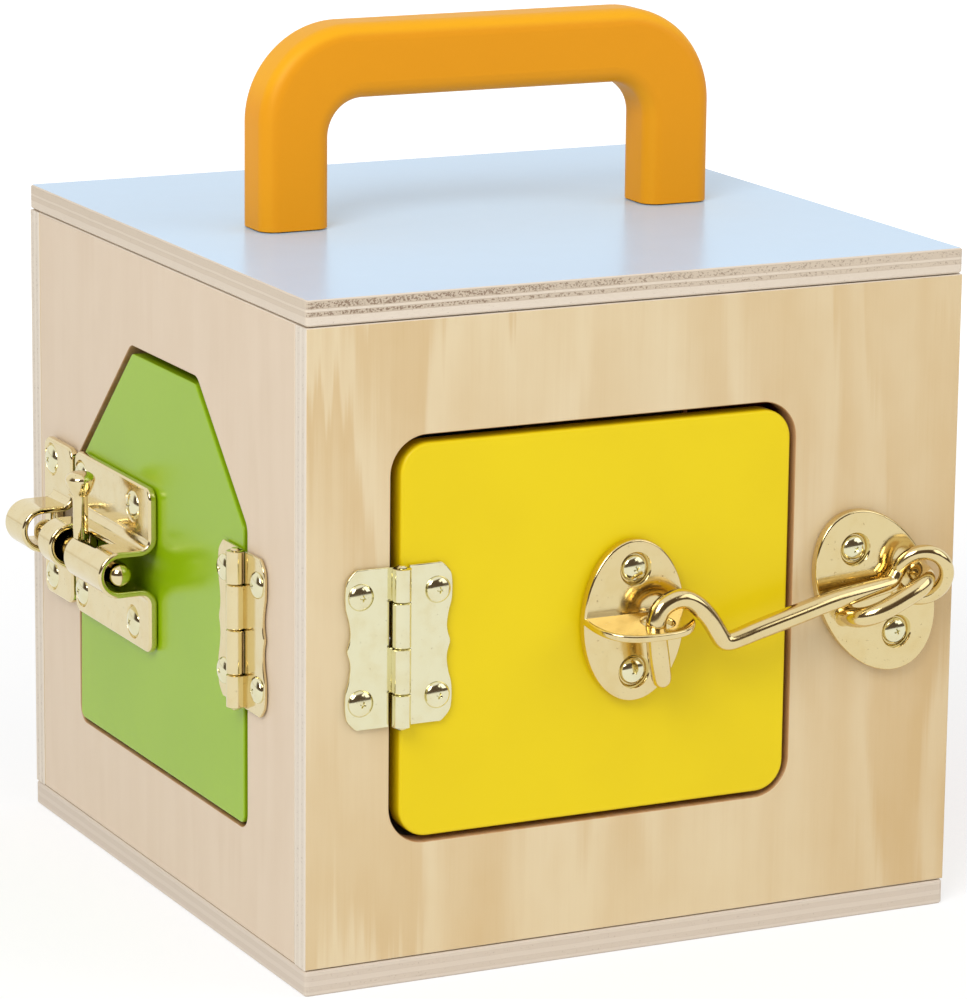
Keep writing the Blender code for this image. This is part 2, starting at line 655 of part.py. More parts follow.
def build_hook():
    """The cabin hook; its carrier stands in the middle of its eye, round the staple's right leg."""
    pivot = Carrier("cabin_hook_pivot", front_side, HOOK_PIVOT)
    path = smooth_path([Vector(knot) for knot in HOOK_PATH])
    hook = pivot.hold(wire("cabin_hook", path, HOOK_WIRE_RADIUS, BRASS))
    bpy.ops.mesh.primitive_torus_add(major_radius=HOOK_EYE_RADIUS, minor_radius=HOOK_EYE_WIRE_RADIUS,
                                     major_segments=EYE_SEGMENTS, minor_segments=2 * WIRE_RESOLUTION + 4)
    eye = bpy.context.active_object
    ring = add_object("hook_eye", eye.data)
    bpy.data.objects.remove(eye, do_unlink=True)
    join(hook, ring, pivot, turn=(HOOK_EYE_TIP, HOOK_EYE_TURN, 0))


def arch(half_width, base):
    """A channel's section: x along the side's up axis, y straight out from its base."""
    angles = [math.pi * k / BARREL_STEPS for k in range(BARREL_STEPS + 1)]
    round_top = [(half_width * math.cos(angle), BOLT_AXIS_OUT + half_width * math.sin(angle)) for angle in angles]
    return [(half_width, base)] + round_top + [(-half_width, base)]


def pressed_plate(name, seat, left, right, half_height, mouth_left, spots):
    """A screwed plate with a hollow channel pressed out of it, open at both ends."""
    rings = [rounded(rectangle(left, -half_height, right - left, 2 * half_height), BOLT_PLATE_CORNER, CORNER_STEPS)]
    rings += [circle(x, y, SHANK_RADIUS + SCREW_CLEARANCE) for x, y in spots]
    plate = seat.hold(flat_piece(name, rings, BARREL_WALL, BRASS), (0, 0, SEAM + BARREL_WALL / 2))
    length = right - mouth_left
    middle = (right + mouth_left) / 2
    sideways = (QUARTER, 0, QUARTER)
    channel = flat_piece(name + "_channel", [arch(BARREL_BORE + BARREL_WALL, SEAM + LAP)], length - 2 * LAP)
    join(plate, channel, seat, (middle, 0, 0), sideways)
    bore = flat_piece(name + "_bore", [arch(BARREL_BORE, BOLT_SHEET_TOP + LAP)], length + 2 * OVERRUN)
    cut(plate, bore, seat, (middle, 0, 0), sideways)
    hollow = box(name + "_hollow", (length, 2 * (BARREL_BORE - LAP), 2 * OVERRUN))
    return cut(plate, hollow, seat, (middle + BARREL_WALL, 0, BOLT_SHEET_TOP + 2 * LAP - OVERRUN))


def build_bolt(panel, green_door, hinge):
    """Barrel bolt on the green door, keeper on the box."""
    home = Vector((GREEN_OPENING_LEFT, BOLT_LINE, 0))
    plate_right = BOLT_PLATE_IN + BOLT_PLATE_WIDTH
    door_seat = Carrier("bolt_seat", hinge, home - hinge.empty.location)
    spots = [(BOLT_SCREW_INNER, BOLT_SCREW_UP), (BOLT_SCREW_OUTER, BOLT_SCREW_UP),
             (BOLT_SCREW_INNER, -BOLT_SCREW_UP), (BOLT_SCREW_OUTER, -BOLT_SCREW_UP)]
    body = pressed_plate("bolt_body", door_seat, BOLT_PLATE_IN, plate_right, BOLT_PLATE_HALF_HEIGHT, BARREL_IN, spots)
    web_top = BOLT_AXIS_OUT - ROD_RADIUS - SEAM
    web = box("bolt_web", (plate_right - BARREL_IN - 2 * SEAM, 2 * BARREL_BORE + BARREL_WALL, WEB_THICKNESS))
    join(body, web, door_seat, ((plate_right + BARREL_IN) / 2, 0, web_top - WEB_THICKNESS / 2))
    margin = STEM_RADIUS + SCREW_CLEARANCE
    drawn = STEM_AT + DRAW
    thrown = STEM_AT - THROW
    outer = BARREL_BORE + BARREL_WALL
    crown = BOLT_AXIS_OUT + outer
    notch_left = thrown - margin - SCREW_CLEARANCE
    notch_right = STEM_AT + margin + SCREW_CLEARANCE
    notch = box("bolt_notch", (notch_right - notch_left, 4 * outer, crown))
    cut(body, notch, door_seat, ((notch_right + notch_left) / 2, 0, BOLT_AXIS_OUT - SCREW_CLEARANCE + crown / 2))
    slot = box("bolt_slot", (drawn - thrown + 2 * margin, outer, 2 * margin))
    cut(body, slot, door_seat, ((drawn + thrown) / 2, outer / 2 + STEM_RADIUS / 2, BOLT_AXIS_OUT))
    rest = box("bolt_rest", (2 * (margin + SCREW_CLEARANCE), 2 * outer + TURN_NOTCH_DEPTH, crown))
    cut(body, rest, door_seat, (drawn, outer - TURN_NOTCH_DEPTH / 2, BOLT_AXIS_OUT - SCREW_CLEARANCE + crown / 2))
    drill(green_door, door_seat, spots, SHANK_RADIUS + SCREW_CLEARANCE, OVERRUN, -BITE - SCREW_CLEARANCE)
    add_screws("bolt_screw_", ("upper_inner", "upper_outer", "lower_inner", "lower_outer"), BOLT_SCREW, door_seat,
               spots, BOLT_SHEET_TOP + SEAM)

    keeper_right = BOLT_PLATE_IN - KEEPER_GAP
    rod_line = Carrier("bolt_line", door_seat, (0, 0, BOLT_AXIS_OUT), (0, QUARTER, 0))
    rod_end = keeper_right + SEAM
    angles = [QUARTER * k / DOME_STEPS for k in range(DOME_STEPS + 1)]
    ball = [(ROD_RADIUS * math.sin(angle), ROD_TAIL - ROD_RADIUS * (1 - math.cos(angle))) for angle in angles]
    profile = ball + [(ROD_RADIUS, rod_end + ROD_CHAMFER), (ROD_RADIUS - ROD_CHAMFER, rod_end), (0, rod_end)]
    rod_line.hold(turned("bolt_rod", profile, ROD_SIDES, BRASS))
    stem = [(STEM_RADIUS, ROD_RADIUS + SEAM), (0, ROD_RADIUS + SEAM)]
    knob_seat = Carrier("bolt_knob_axis", door_seat, (STEM_AT, 0, BOLT_AXIS_OUT))
    knob_seat.hold(turned("bolt_knob", list(KNOB_PROFILE) + stem, ROD_SIDES, BRASS), turn=(-QUARTER, 0, 0))

    keeper_seat = Carrier("keeper_seat", left_side, home)
    screw_x = keeper_right - KEEPER_WIDTH + KEEPER_SCREW_IN
    spots = [(screw_x, KEEPER_SCREW_UP), (screw_x, -KEEPER_SCREW_UP)]
    pressed_plate("bolt_keeper", keeper_seat, keeper_right - KEEPER_WIDTH, keeper_right, KEEPER_HALF_HEIGHT,
                  keeper_right - KEEPER_DEPTH, spots)
    drill(panel, keeper_seat, spots, SHANK_RADIUS + SCREW_CLEARANCE, OVERRUN, -BITE - SCREW_CLEARANCE)
    add_screws("keeper_screw_", ("upper", "lower"), BOLT_SCREW, keeper_seat, spots, BOLT_SHEET_TOP + SEAM)


def build_turn_button(colour, panel, side, opening_edge, height):
    """A button that turns across the door's free edge; at rest it stands upright, clear of the door."""
    at = (opening_edge + BUTTON_CLEAR + BUTTON_WIDTH / 2, height)
    pivot = Carrier(colour + "_button_pivot", side, (*at, 0))
    rim = rounded(rectangle(-BUTTON_WIDTH / 2, -BUTTON_LENGTH / 2, BUTTON_WIDTH, BUTTON_LENGTH),
                  BUTTON_CORNER, BUTTON_CORNER_STEPS)
    rings = [rim, circle(0, 0, SHANK_RADIUS + SCREW_CLEARANCE)]
    button = flat_piece(colour + "_turn_button", rings, BUTTON_THICKNESS, BRASS, PLATE_ROUND)
    pivot.hold(button, (0, 0, SEAM + BUTTON_THICKNESS / 2))
    drill(panel, side, [at], SHANK_RADIUS + SCREW_CLEARANCE, OVERRUN, -BITE - SCREW_CLEARANCE)
    screw = add_object(colour + "_button_screw", BUTTON_SCREW, BRASS)
    side.hold(screw, (*at, 2 * SEAM + BUTTON_THICKNESS))


def build_side(colour, wall_name, side, width, corners, radii, hinge_hand, hinge_middle, finish, frame_has_top):
    """A wall, its door and its hinge. hinge_hand is -1 with the hinge at the left, as seen from outside."""
    edge = min(x for x, y in corners) if hinge_hand < 0 else max(x for x, y in corners)
    panel = wall(wall_name, side, width, corners, radii)
    hinge = Carrier(colour + "_door_hinge", side, (edge - hinge_hand * DOOR_GAP / 2, hinge_middle, HINGE_OUT))
    door_panel = door(colour + "_door", corners, radii, hinge, finish)
    frame_seat = add_hinge(colour, side, hinge, hinge_hand, frame_has_top)
    drill_for_screws(panel, frame_seat, hinge_holes(hinge_hand))
    drill_for_screws(door_panel, hinge, hinge_holes(-hinge_hand))
    return panel, door_panel, hinge, frame_seat


def add_hinge_screws(colour, hinge, frame_seat, frame_hand):
    height = LEAF_TOP + SEAM - HINGE_OUT
    add_screws(colour + "_frame_hinge_screw_", ("upper", "lower"), HINGE_SCREW, frame_seat, hinge_holes(frame_hand),
               height)
    add_screws(colour + "_door_hinge_screw_", ("upper", "lower"), HINGE_SCREW, hinge, hinge_holes(-frame_hand),
               height)


def build_yellow_side():
    left = YELLOW_OPENING_MIDDLE - YELLOW_OPENING_WIDTH / 2
    corners = rectangle(left, YELLOW_OPENING_BASE, YELLOW_OPENING_WIDTH, YELLOW_OPENING_HEIGHT)
    panel, door_panel, hinge, frame_seat = build_side(
        "yellow", "front_panel", front_side, BOX_WIDTH, corners, [YELLOW_CORNER] * 4, -1, YELLOW_HINGE_MIDDLE,
        YELLOW, True)
    add_hinge_screws("yellow", hinge, frame_seat, -1)
    build_hook_latch(panel, door_panel, hinge)


def build_green_side():
    left = GREEN_OPENING_LEFT
    right = left + GREEN_OPENING_WIDTH
    corners = [(left, GREEN_OPENING_BASE), (right, GREEN_OPENING_BASE), (right, GREEN_RIGHT_SHOULDER),
               (GREEN_PEAK_LEFT + GREEN_PEAK_WIDTH, GREEN_PEAK), (GREEN_PEAK_LEFT, GREEN_PEAK),
               (left, GREEN_LEFT_SHOULDER)]
    width = BOX_DEPTH - 2 * PLY - 2 * SEAM
    panel, door_panel, hinge, frame_seat = build_side(
        "green", "left_panel", left_side, width, corners, [GREEN_CORNER] * 6, 1, GREEN_HINGE_MIDDLE, GREEN, False)
    add_hinge_screws("green", hinge, frame_seat, 1)
    build_bolt(panel, door_panel, hinge)


def build_red_side():
    half = RED_OPENING_WIDTH / 2
    arch = [(half * math.cos(math.pi * k / ARCH_STEPS), RED_SPRING + half * math.sin(math.pi * k / ARCH_STEPS))
            for k in range(ARCH_STEPS + 1)]
    corners = [(-half, RED_OPENING_BASE), (half, RED_OPENING_BASE)] + arch
    radii = [RED_CORNER, RED_CORNER] + [0.0] * len(arch)
    width = BOX_DEPTH - 2 * PLY - 2 * SEAM
    panel = build_side("red", "right_panel", right_side, width, corners, radii, -1, RED_HINGE_MIDDLE, RED, True)[0]
    build_turn_button("red", panel, right_side, half, RED_HINGE_MIDDLE)


def build_blue_side():
    half = BLUE_OPENING_WIDTH / 2
    base = BLUE_OPENING_BASE
    top = base + BLUE_OPENING_HEIGHT
    corners = [(-half, base + BLUE_CHAMFER), (-half + BLUE_CHAMFER, base), (half - BLUE_CHAMFER, base),
               (half, base + BLUE_CHAMFER), (half, top - BLUE_CHAMFER), (half - BLUE_CHAMFER, top),
               (-half + BLUE_CHAMFER, top), (-half, top - BLUE_CHAMFER)]
    panel = build_side("blue", "back_panel", back_side, BOX_WIDTH, corners, [BLUE_CORNER] * 8, -1,
                       base + BLUE_OPENING_HEIGHT / 2, BLUE, True)[0]
    build_turn_button("blue", panel, back_side, half, base + BLUE_OPENING_HEIGHT / 2)


build_handle(build_box())
build_yellow_side()
build_green_side()
build_red_side()
build_blue_side()
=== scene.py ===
from functools import partial
from math import copysign, cos, pi, radians, sin, tan

import bmesh
import bpy
from mathutils import Euler, Matrix, Vector


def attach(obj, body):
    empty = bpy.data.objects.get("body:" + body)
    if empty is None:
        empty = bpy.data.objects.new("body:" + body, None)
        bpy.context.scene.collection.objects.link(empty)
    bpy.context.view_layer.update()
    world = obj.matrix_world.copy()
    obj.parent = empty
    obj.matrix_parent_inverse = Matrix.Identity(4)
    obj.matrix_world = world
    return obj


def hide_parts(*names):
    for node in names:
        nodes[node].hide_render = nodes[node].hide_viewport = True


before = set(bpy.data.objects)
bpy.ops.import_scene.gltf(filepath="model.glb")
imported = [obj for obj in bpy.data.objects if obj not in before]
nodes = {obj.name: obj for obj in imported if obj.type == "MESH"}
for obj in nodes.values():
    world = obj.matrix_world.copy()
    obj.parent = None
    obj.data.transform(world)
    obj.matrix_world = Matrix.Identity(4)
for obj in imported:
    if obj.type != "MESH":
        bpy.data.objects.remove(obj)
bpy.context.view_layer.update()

turnRound = 2 * pi
quarter = pi / 2
ply = 0.006  # thickness of every panel and door
seam = 0.0003  # how far the metal stands off the wood


def turned(x, y, z):
    return Euler((x, y, z)).to_matrix().to_4x4()


def shifted(*place):
    return Matrix.Translation(place)


sides = {  # x right, y up, z out of the wood, as seen from outside
    "front": shifted(0, -0.085, 0) @ turned(quarter, 0, 0),
    "right": shifted(0.085, 0, 0) @ turned(quarter, 0, quarter),
    "back": shifted(0, 0.085, 0) @ turned(quarter, 0, pi),
    "left": shifted(-0.085, 0, 0) @ turned(quarter, 0, -quarter)}


def paint(*screen):  # red, green and blue from 0 to 255, as the linear colour that Blender works in
    return tuple(v / 3294.6 if v <= 10 else ((v / 255 + 0.055) / 1.055) ** 2.4 for v in screen) + (1,)


# node trees

def sums(operation, reflected=False):
    def work(self, other):
        return self.sum(operation, other, self) if reflected else self.sum(operation, self, other)
    return work


class Signal:  # a socket that takes part in sums
    def __init__(self, recipe, socket):
        self.recipe = recipe
        self.socket = socket

    def sum(self, operation, first, second):
        return self.recipe.add("ShaderNodeMath", {"operation": operation}, {0: first, 1: second})

    def __abs__(self):
        return self.sum("ABSOLUTE", self, 0)

    __add__, __radd__ = sums("ADD"), sums("ADD", True)
    __sub__, __rsub__ = sums("SUBTRACT"), sums("SUBTRACT", True)
    __mul__, __rmul__ = sums("MULTIPLY"), sums("MULTIPLY", True)
    __truediv__, __rtruediv__ = sums("DIVIDE"), sums("DIVIDE", True)
    __gt__, __lt__ = sums("GREATER_THAN"), sums("LESS_THAN")


def addNode(tree, kind, settings=None, values=None):  # the settings first, then what its sockets take
    node = tree.nodes.new(kind)
    for key, value in (settings or {}).items():
        if key == "stops":
            ramp = node.color_ramp.elements
            while len(ramp) < len(value):
                ramp.new(1)
            for element, (place, colour) in zip(ramp, value):
                element.position = place
                element.color = colour
        elif key == "ease":
            node.color_ramp.interpolation = value
        else:
            setattr(node, key, value)
    for key, value in (values or {}).items():
        source = getattr(value, "socket", value)
        if isinstance(source, bpy.types.NodeSocket):
            tree.links.new(source, node.inputs[key])
        else:
            node.inputs[key].default_value = value
    return node


class Recipe:  # one material's or one world's nodes
    def __init__(self, name, world=False):
        self.owner = bpy.data.worlds.new(name) if world else bpy.data.materials.new(name)
        self.owner.use_nodes = True
        self.tree = self.owner.node_tree
        self.tree.nodes.clear()

    def add(self, kind, settings=None, values=None, output=0):
        node = addNode(self.tree, kind, settings, values)
        return Signal(self, node.outputs[output]) if node.outputs else None

    def spread(self, vector):  # the three parts of a vector
        first = self.add("ShaderNodeSeparateXYZ", None, {0: vector})
        return [Signal(self, socket) for socket in first.socket.node.outputs]

    def gather(self, x, y, z):
        return self.add("ShaderNodeCombineXYZ", None, {0: x, 1: y, 2: z})

    def blend(self, factor, first, second):
        return self.add("ShaderNodeMix", {"data_type": "RGBA"}, {0: factor, 6: first, 7: second}, 2)

    def ease(self, value, low, high, start=0.0, end=1.0):  # a smooth step
        return self.add("ShaderNodeMapRange", {"interpolation_type": "SMOOTHSTEP"},
                        {0: value, 1: low, 2: high, 3: start, 4: end})

    def clouds(self, vector, scale, detail=2.0, rough=0.5):
        return self.add("ShaderNodeTexNoise", None,
                        {"Vector": vector, "Scale": scale, "Detail": detail, "Roughness": rough})

    def object(self, what="Object"):
        return self.add("ShaderNodeTexCoord", None, None, what)

    def ray(self, what):
        return self.add("ShaderNodeLightPath", None, None, f"Is {what} Ray")

    def finish(self, colour, rough, bumps=(), **other):
        values = {key.replace("_", " "): value for key, value in other.items()}
        values.update({"Base Color": colour, "Roughness": rough})
        normal = None
        for height, strength, distance in bumps:
            inputs = {"Height": height, "Strength": strength, "Distance": distance}
            if normal:
                inputs["Normal"] = normal
            normal = self.add("ShaderNodeBump", None, inputs)
        if normal:
            values["Normal"] = normal
        shader = self.add("ShaderNodeBsdfPrincipled", None, values)
        self.add("ShaderNodeOutputMaterial", None, {"Surface": shader})
        return self.owner


# finishes

palePly = paint(229, 218, 202)  # the even tone that the layers of an edge fade into
panelWood = {"pale": paint(224, 203, 168), "dark": paint(207, 178, 138), "figure": 0.4, "streak": 0.1}
guessedWood = {"even": palePly, "figure": 0.4, "streak": 0.08, "layered": 0.5}
woods = {  # axis is the panel's thin way, outer its outer face
    "top": {**panelWood, "axis": 2, "outer": 0.162, "seed": 21.3, "even": paint(217, 202, 182), "layered": 0.9,
            "pits": 1.0, "cover": paint(198, 228, 255), "coverRough": 0.22},
    "bottom": {**panelWood, "axis": 2, "outer": 0.0, "seed": 17.9, "even": paint(214, 200, 184),
               "layered": 0.55, "pits": 0.1},
    "front": {"axis": 1, "outer": -0.085, "seed": 3.1, "pale": paint(226, 206, 167), "dark": paint(210, 179, 128),
              "even": palePly, "figure": 0.62, "streak": 0.06, "layered": 0.45, "drift": 0.36},
    "left": {"axis": 0, "outer": -0.085, "seed": 8.7, "pale": paint(224, 204, 179), "dark": paint(211, 187, 158),
             "even": palePly, "figure": 0.16, "streak": 0.04, "layered": 0.45},
    "right": {**guessedWood, "axis": 0, "outer": 0.085, "seed": 5.2, "pale": paint(225, 204, 168),
              "dark": paint(208, 179, 140)},
    "back": {**guessedWood, "axis": 1, "outer": 0.085, "seed": 12.4, "pale": paint(226, 205, 166),
             "dark": paint(209, 180, 134)}}
plies = {"light": paint(229, 216, 199), "dark": paint(205, 188, 166), "glue": paint(184, 162, 140),
         "pit": paint(122, 92, 68), "burnt": paint(180, 130, 74)}
plyShades = ["light", "glue", "dark", "dark", "glue", "light"] * 2
plyLayers = {  # where each shade is through the thickness, and the layers that show their end grain
    "usual": {"places": [0.17, 0.195, 0.22, 0.37, 0.39, 0.41, 0.59, 0.61, 0.63, 0.78, 0.805, 0.83],
              "cross": [(0.295, 0.1), (0.705, 0.1)]},
    "top": {"places": [0.35, 0.37, 0.39, 0.52, 0.54, 0.56, 0.64, 0.66, 0.68, 0.91, 0.94, 0.96],
            "cross": [(0.46, 0.09), (0.8, 0.14)]}}
burntAround = {"middle": 0.081, "halfWidth": 0.078, "halfHeight": 0.07}  # where the laser's openings are


def plyEdge(recipe, through, along, tone, rough):  # the layers of a cut edge, and the pits in its end grain
    seed = tone["seed"]
    facts = plyLayers["top" if "cover" in tone else "usual"]
    wander = recipe.clouds(recipe.gather(along, through * 0.2, seed), 60.0) * 0.06 - 0.03
    depth = through / ply + wander
    stops = [(place, plies[shade]) for place, shade in zip(facts["places"], plyShades)]
    layers = recipe.add("ShaderNodeValToRGB", {"ease": "LINEAR", "stops": stops}, {0: depth})
    fibres = recipe.clouds(recipe.gather(along * 90, depth * 2.4, seed), 9.0, 4.0, 0.7)
    endGrain = sum((recipe.ease(abs(depth - middle), wide, wide - 0.04) for middle, wide in facts["cross"]), 0)
    specks = recipe.clouds(recipe.gather(along * 1900, depth * 12, seed), 1.0, 3.0, 0.7)
    pits = recipe.ease(specks + endGrain * (0.05 + rough * 0.13), 0.66, 0.74)
    toned = recipe.blend(recipe.ease(fibres, 0.3, 0.75, 0.0, 0.28), layers, plies["dark"])
    toned = recipe.blend(tone["layered"] * (0.45 + rough * 0.55), tone["even"], toned)
    return recipe.blend(pits * (0.25 + rough * 0.5), toned, plies["pit"]), pits


def plywood(name):
    recipe = Recipe(name + "Ply")
    tone = woods[name]
    axis, outer = tone["axis"], tone["outer"]
    coordinates = recipe.object()
    parts = recipe.spread(coordinates)
    facing = recipe.spread(recipe.object("Normal"))
    flat = recipe.ease(abs(facing[axis]), 0.78, 0.9)
    across = parts[0] if axis != 0 else parts[1]
    along = parts[2] if axis != 2 else parts[1]
    seed = tone["seed"]
    streaks = recipe.clouds(recipe.gather(across * 420, along * 9, seed), 1.0, 3.0, 0.6)
    feather = along + streaks * 0.055  # the fibres feather the ends of the growth rings
    figure = recipe.clouds(recipe.gather(across * 24, feather * 4.6, seed), 1.0, 2.0, 0.4)
    contour = recipe.add("ShaderNodeMath", {"operation": "FRACT"}, {0: figure * 7.0})
    rings = recipe.ease(contour, 0.0, 0.7) * recipe.ease(contour, 1.0, 0.75)
    fibres = recipe.clouds(recipe.gather(across * 2600, along * 60, seed), 1.0, 2.0, 0.6)
    clouds = recipe.clouds(recipe.gather(across * 9, along * 3.2, seed + 4), 1.0, 2.0)
    mottle = recipe.clouds(recipe.gather(across * 110, along * 55, seed + 2), 1.0, 2.0)
    grain = (rings * tone["figure"] * recipe.ease(clouds, 0.34, 0.56)
             + recipe.ease(streaks, 0.35, 0.75) * tone["streak"]
             + recipe.ease(fibres, 0.4, 0.8) * 0.06 + recipe.ease(mottle, 0.4, 0.7) * 0.12
             + recipe.ease(across, 0.0, 0.085) * tone.get("drift", 0))
    face = recipe.blend(grain, tone["pale"], tone["dark"])
    through = (parts[axis] - outer) * (1 if outer < 0 or axis == 2 else -1)
    if axis == 2:  # the front edge shows its end grain, most of all towards the left
        through = through + ply * (1 if outer > 0 else 0)
        rough = recipe.ease(abs(facing[1]), 0.5, 0.8) * recipe.ease(parts[0], 0.09, -0.07, 0.35, 1.0)
        rough = rough * tone["pits"]
        run = parts[0] + parts[1] * 1.7
    else:
        rough = recipe.ease(flat, 1.0, 0.0, 0.2, 0.3)
        run = along
    edge, pits = plyEdge(recipe, through, run, tone, rough)
    if name in sides:  # the laser leaves the opening's own edge brown
        inside = (abs(across) < burntAround["halfWidth"]) * (
            abs(parts[2] - burntAround["middle"]) < burntAround["halfHeight"])
        char = recipe.ease(streaks, 0.2, 0.8, 0.8, 0.98)
        edge = recipe.blend(inside * char, edge, plies["burnt"])
    if "cover" in tone:  # blue laminate on the upper face
        up = recipe.ease(facing[2], 0.78, 0.9)
        face = recipe.blend(up, face, tone["cover"])
        cloudy = recipe.clouds(coordinates, 70.0, 3.0) * 0.06
        colour = recipe.blend(flat, edge, face)
        gloss = recipe.ease(up, 0.0, 1.0, 0.55, tone["coverRough"]) + cloudy
        return recipe.finish(colour, gloss, [(pits * (1 - flat), 0.5, 0.0002),
                                             (recipe.clouds(coordinates, 900.0), 0.03, 0.0002)],
                             Specular_IOR_Level=0.4)
    colour = recipe.blend(flat, edge, face)
    gloss = 0.5 + streaks * 0.1 - flat * 0.08
    return recipe.finish(colour, gloss, [(fibres * flat, 0.12, 0.0001), (pits * (1 - flat), 0.5, 0.0002)])


def lacquer(name, colour, deepToneAndEdgeShade, rough, shine=0.35, thin=None, upper=None):  # thin: through a door; the door's edges take a painted shade
    recipe = Recipe(name + "Lacquer")
    coordinates = recipe.object()
    broad = recipe.clouds(coordinates, 24.0)
    orangePeel = recipe.clouds(coordinates, 340.0, 1.0)
    fine = recipe.clouds(coordinates, 1900.0, 2.0)
    tone = recipe.blend(recipe.ease(broad, 0.35, 0.65, 0.0, 0.12), colour, deepToneAndEdgeShade)
    facing = recipe.spread(recipe.object("Normal"))
    if thin is not None:
        # painted shade: a door's edges, across the thin axis, darken towards the deeper colour
        tone = recipe.blend(recipe.ease(abs(facing[thin]), 0.35, 0.9, 0.45, 0.0), tone, deepToneAndEdgeShade)
    if upper:  # painted highlight: the rounded upper and left-facing edges are painted lighter
        highlightFacing = recipe.ease(facing[2], 0.1, 0.75) + recipe.ease(facing[0], -0.2, -0.6) * 0.3
        tone = recipe.blend(recipe.ease(highlightFacing, 0.0, 1.0), tone, upper)
    return recipe.finish(tone, rough + broad * 0.06, [(orangePeel, 0.05, 0.0004), (fine, 0.02, 0.0001)],
                         Specular_IOR_Level=shine)


def plated(name, colour, deep, rough):
    recipe = Recipe(name)
    coordinates = recipe.object()
    patches = recipe.clouds(coordinates, 210.0, 3.0)
    brushed = recipe.clouds(coordinates, 1500.0, 3.0, 0.6)
    ripple = recipe.clouds(coordinates, 260.0, 1.0)
    specks = recipe.ease(recipe.clouds(coordinates, 1300.0, 1.0), 0.7, 0.78)
    tone = recipe.blend(recipe.ease(patches, 0.4, 0.75, 0.0, 0.35), colour, deep)
    tone = recipe.blend(specks * 0.25, tone, paint(120, 88, 40))
    return recipe.finish(tone, rough + recipe.ease(patches, 0.3, 0.8) * 0.08 + specks * 0.15,
                         [(ripple, 0.06, 0.0003), (brushed, 0.03, 0.0001)], Metallic=1.0)


finishes = {
    "brass": plated("brassPlate", paint(234, 219, 174), paint(228, 205, 148), 0.09),
    "goldBrass": plated("goldBrass", paint(231, 212, 160), paint(224, 197, 132), 0.1),
    "paleBrass": plated("paleBrass", paint(236, 231, 194), paint(228, 214, 162), 0.1),
    **{name + "Panel": plywood(name) for name in woods},
    # upper: the painted highlight colour of the handle's top and left edges
    "orange": lacquer("orange", paint(233, 152, 8), paint(226, 143, 6), 0.42, 0.22, upper=paint(243, 172, 14)),
    "yellow": lacquer("yellow", paint(235, 208, 5), paint(212, 176, 5), 0.34, 0.28, 1),
    "green": lacquer("green", paint(151, 188, 14), paint(126, 164, 12), 0.18, 0.38, 0),
    "red": lacquer("red", paint(206, 66, 52), paint(176, 44, 34), 0.28, thin=0),
    "blue": lacquer("blue", paint(70, 134, 190), paint(44, 104, 164), 0.28, thin=1)}
print("finishes made:", len(finishes))


# shapes

def link(name, data):
    piece = bpy.data.objects.new(name, data)
    bpy.context.scene.collection.objects.link(piece)
    return piece


def bake(piece):  # the evaluated mesh takes the place of the curve or the modifiers
    bpy.context.view_layer.update()
    graph = bpy.context.evaluated_depsgraph_get()
    mesh = bpy.data.meshes.new_from_object(piece.evaluated_get(graph))
    name = piece.name
    if piece.type == "MESH":
        piece.modifiers.clear()
        piece.data = mesh
        return piece
    bpy.data.objects.remove(piece, do_unlink=True)
    return link(name, mesh)


def reshape(piece, *changes):  # each change works on the opened mesh
    shape = bmesh.new()
    shape.from_mesh(piece.data)
    for change in changes:
        change(shape)
    shape.to_mesh(piece.data)
    shape.free()
    return piece


def weld(piece, distance=1e-6):
    return reshape(piece, lambda shape: bmesh.ops.remove_doubles(shape, verts=shape.verts, dist=distance),
                   lambda shape: bmesh.ops.recalc_face_normals(shape, faces=shape.faces))


def fromFaces(name, corners, faces):
    mesh = bpy.data.meshes.new(name)
    mesh.from_pydata(corners, [], faces)
    return link(name, mesh)


def polish(piece, angle=radians(38), bevel=0.0):  # soft edges, flats that stay flat
    if bevel:
        edges = piece.modifiers.new("edges", "BEVEL")
        edges.width = bevel
        edges.segments = 3
        edges.use_clamp_overlap = False  # short edges don't hold it back
        edges.limit_method = "ANGLE"
        edges.angle_limit = angle
        bake(piece)
    piece.data.shade_smooth()
    piece.data.set_sharp_from_angle(angle=angle)
    weights = piece.modifiers.new("weights", "WEIGHTED_NORMAL")
    weights.keep_sharp = True
    return bake(piece)


def slab(name, rings, thickness, rounding=0.0, steps=3):  # a flat outline with holes, its rims rounded
    curve = bpy.data.curves.new(name, "CURVE")
    curve.dimensions = "2D"
    curve.fill_mode = "BOTH"
    curve.extrude = thickness / 2 - rounding
    curve.bevel_depth = rounding
    curve.bevel_resolution = steps
    curve.offset = -rounding
    for ring in rings:
        spline = curve.splines.new("POLY")
        spline.points.add(len(ring) - 1)
        for point, (x, y) in zip(spline.points, ring):
            point.co = (x, y, 0, 1)
        spline.use_cyclic_u = True
    return weld(bake(link(name, curve)))


def bands(rings, around):  # the faces between each ring of corners and the next
    return [(k * around + j, k * around + n, (k + 1) * around + n, (k + 1) * around + j)
            for k in range(rings - 1) for j, n in zip(range(around), [*range(1, around), 0])]


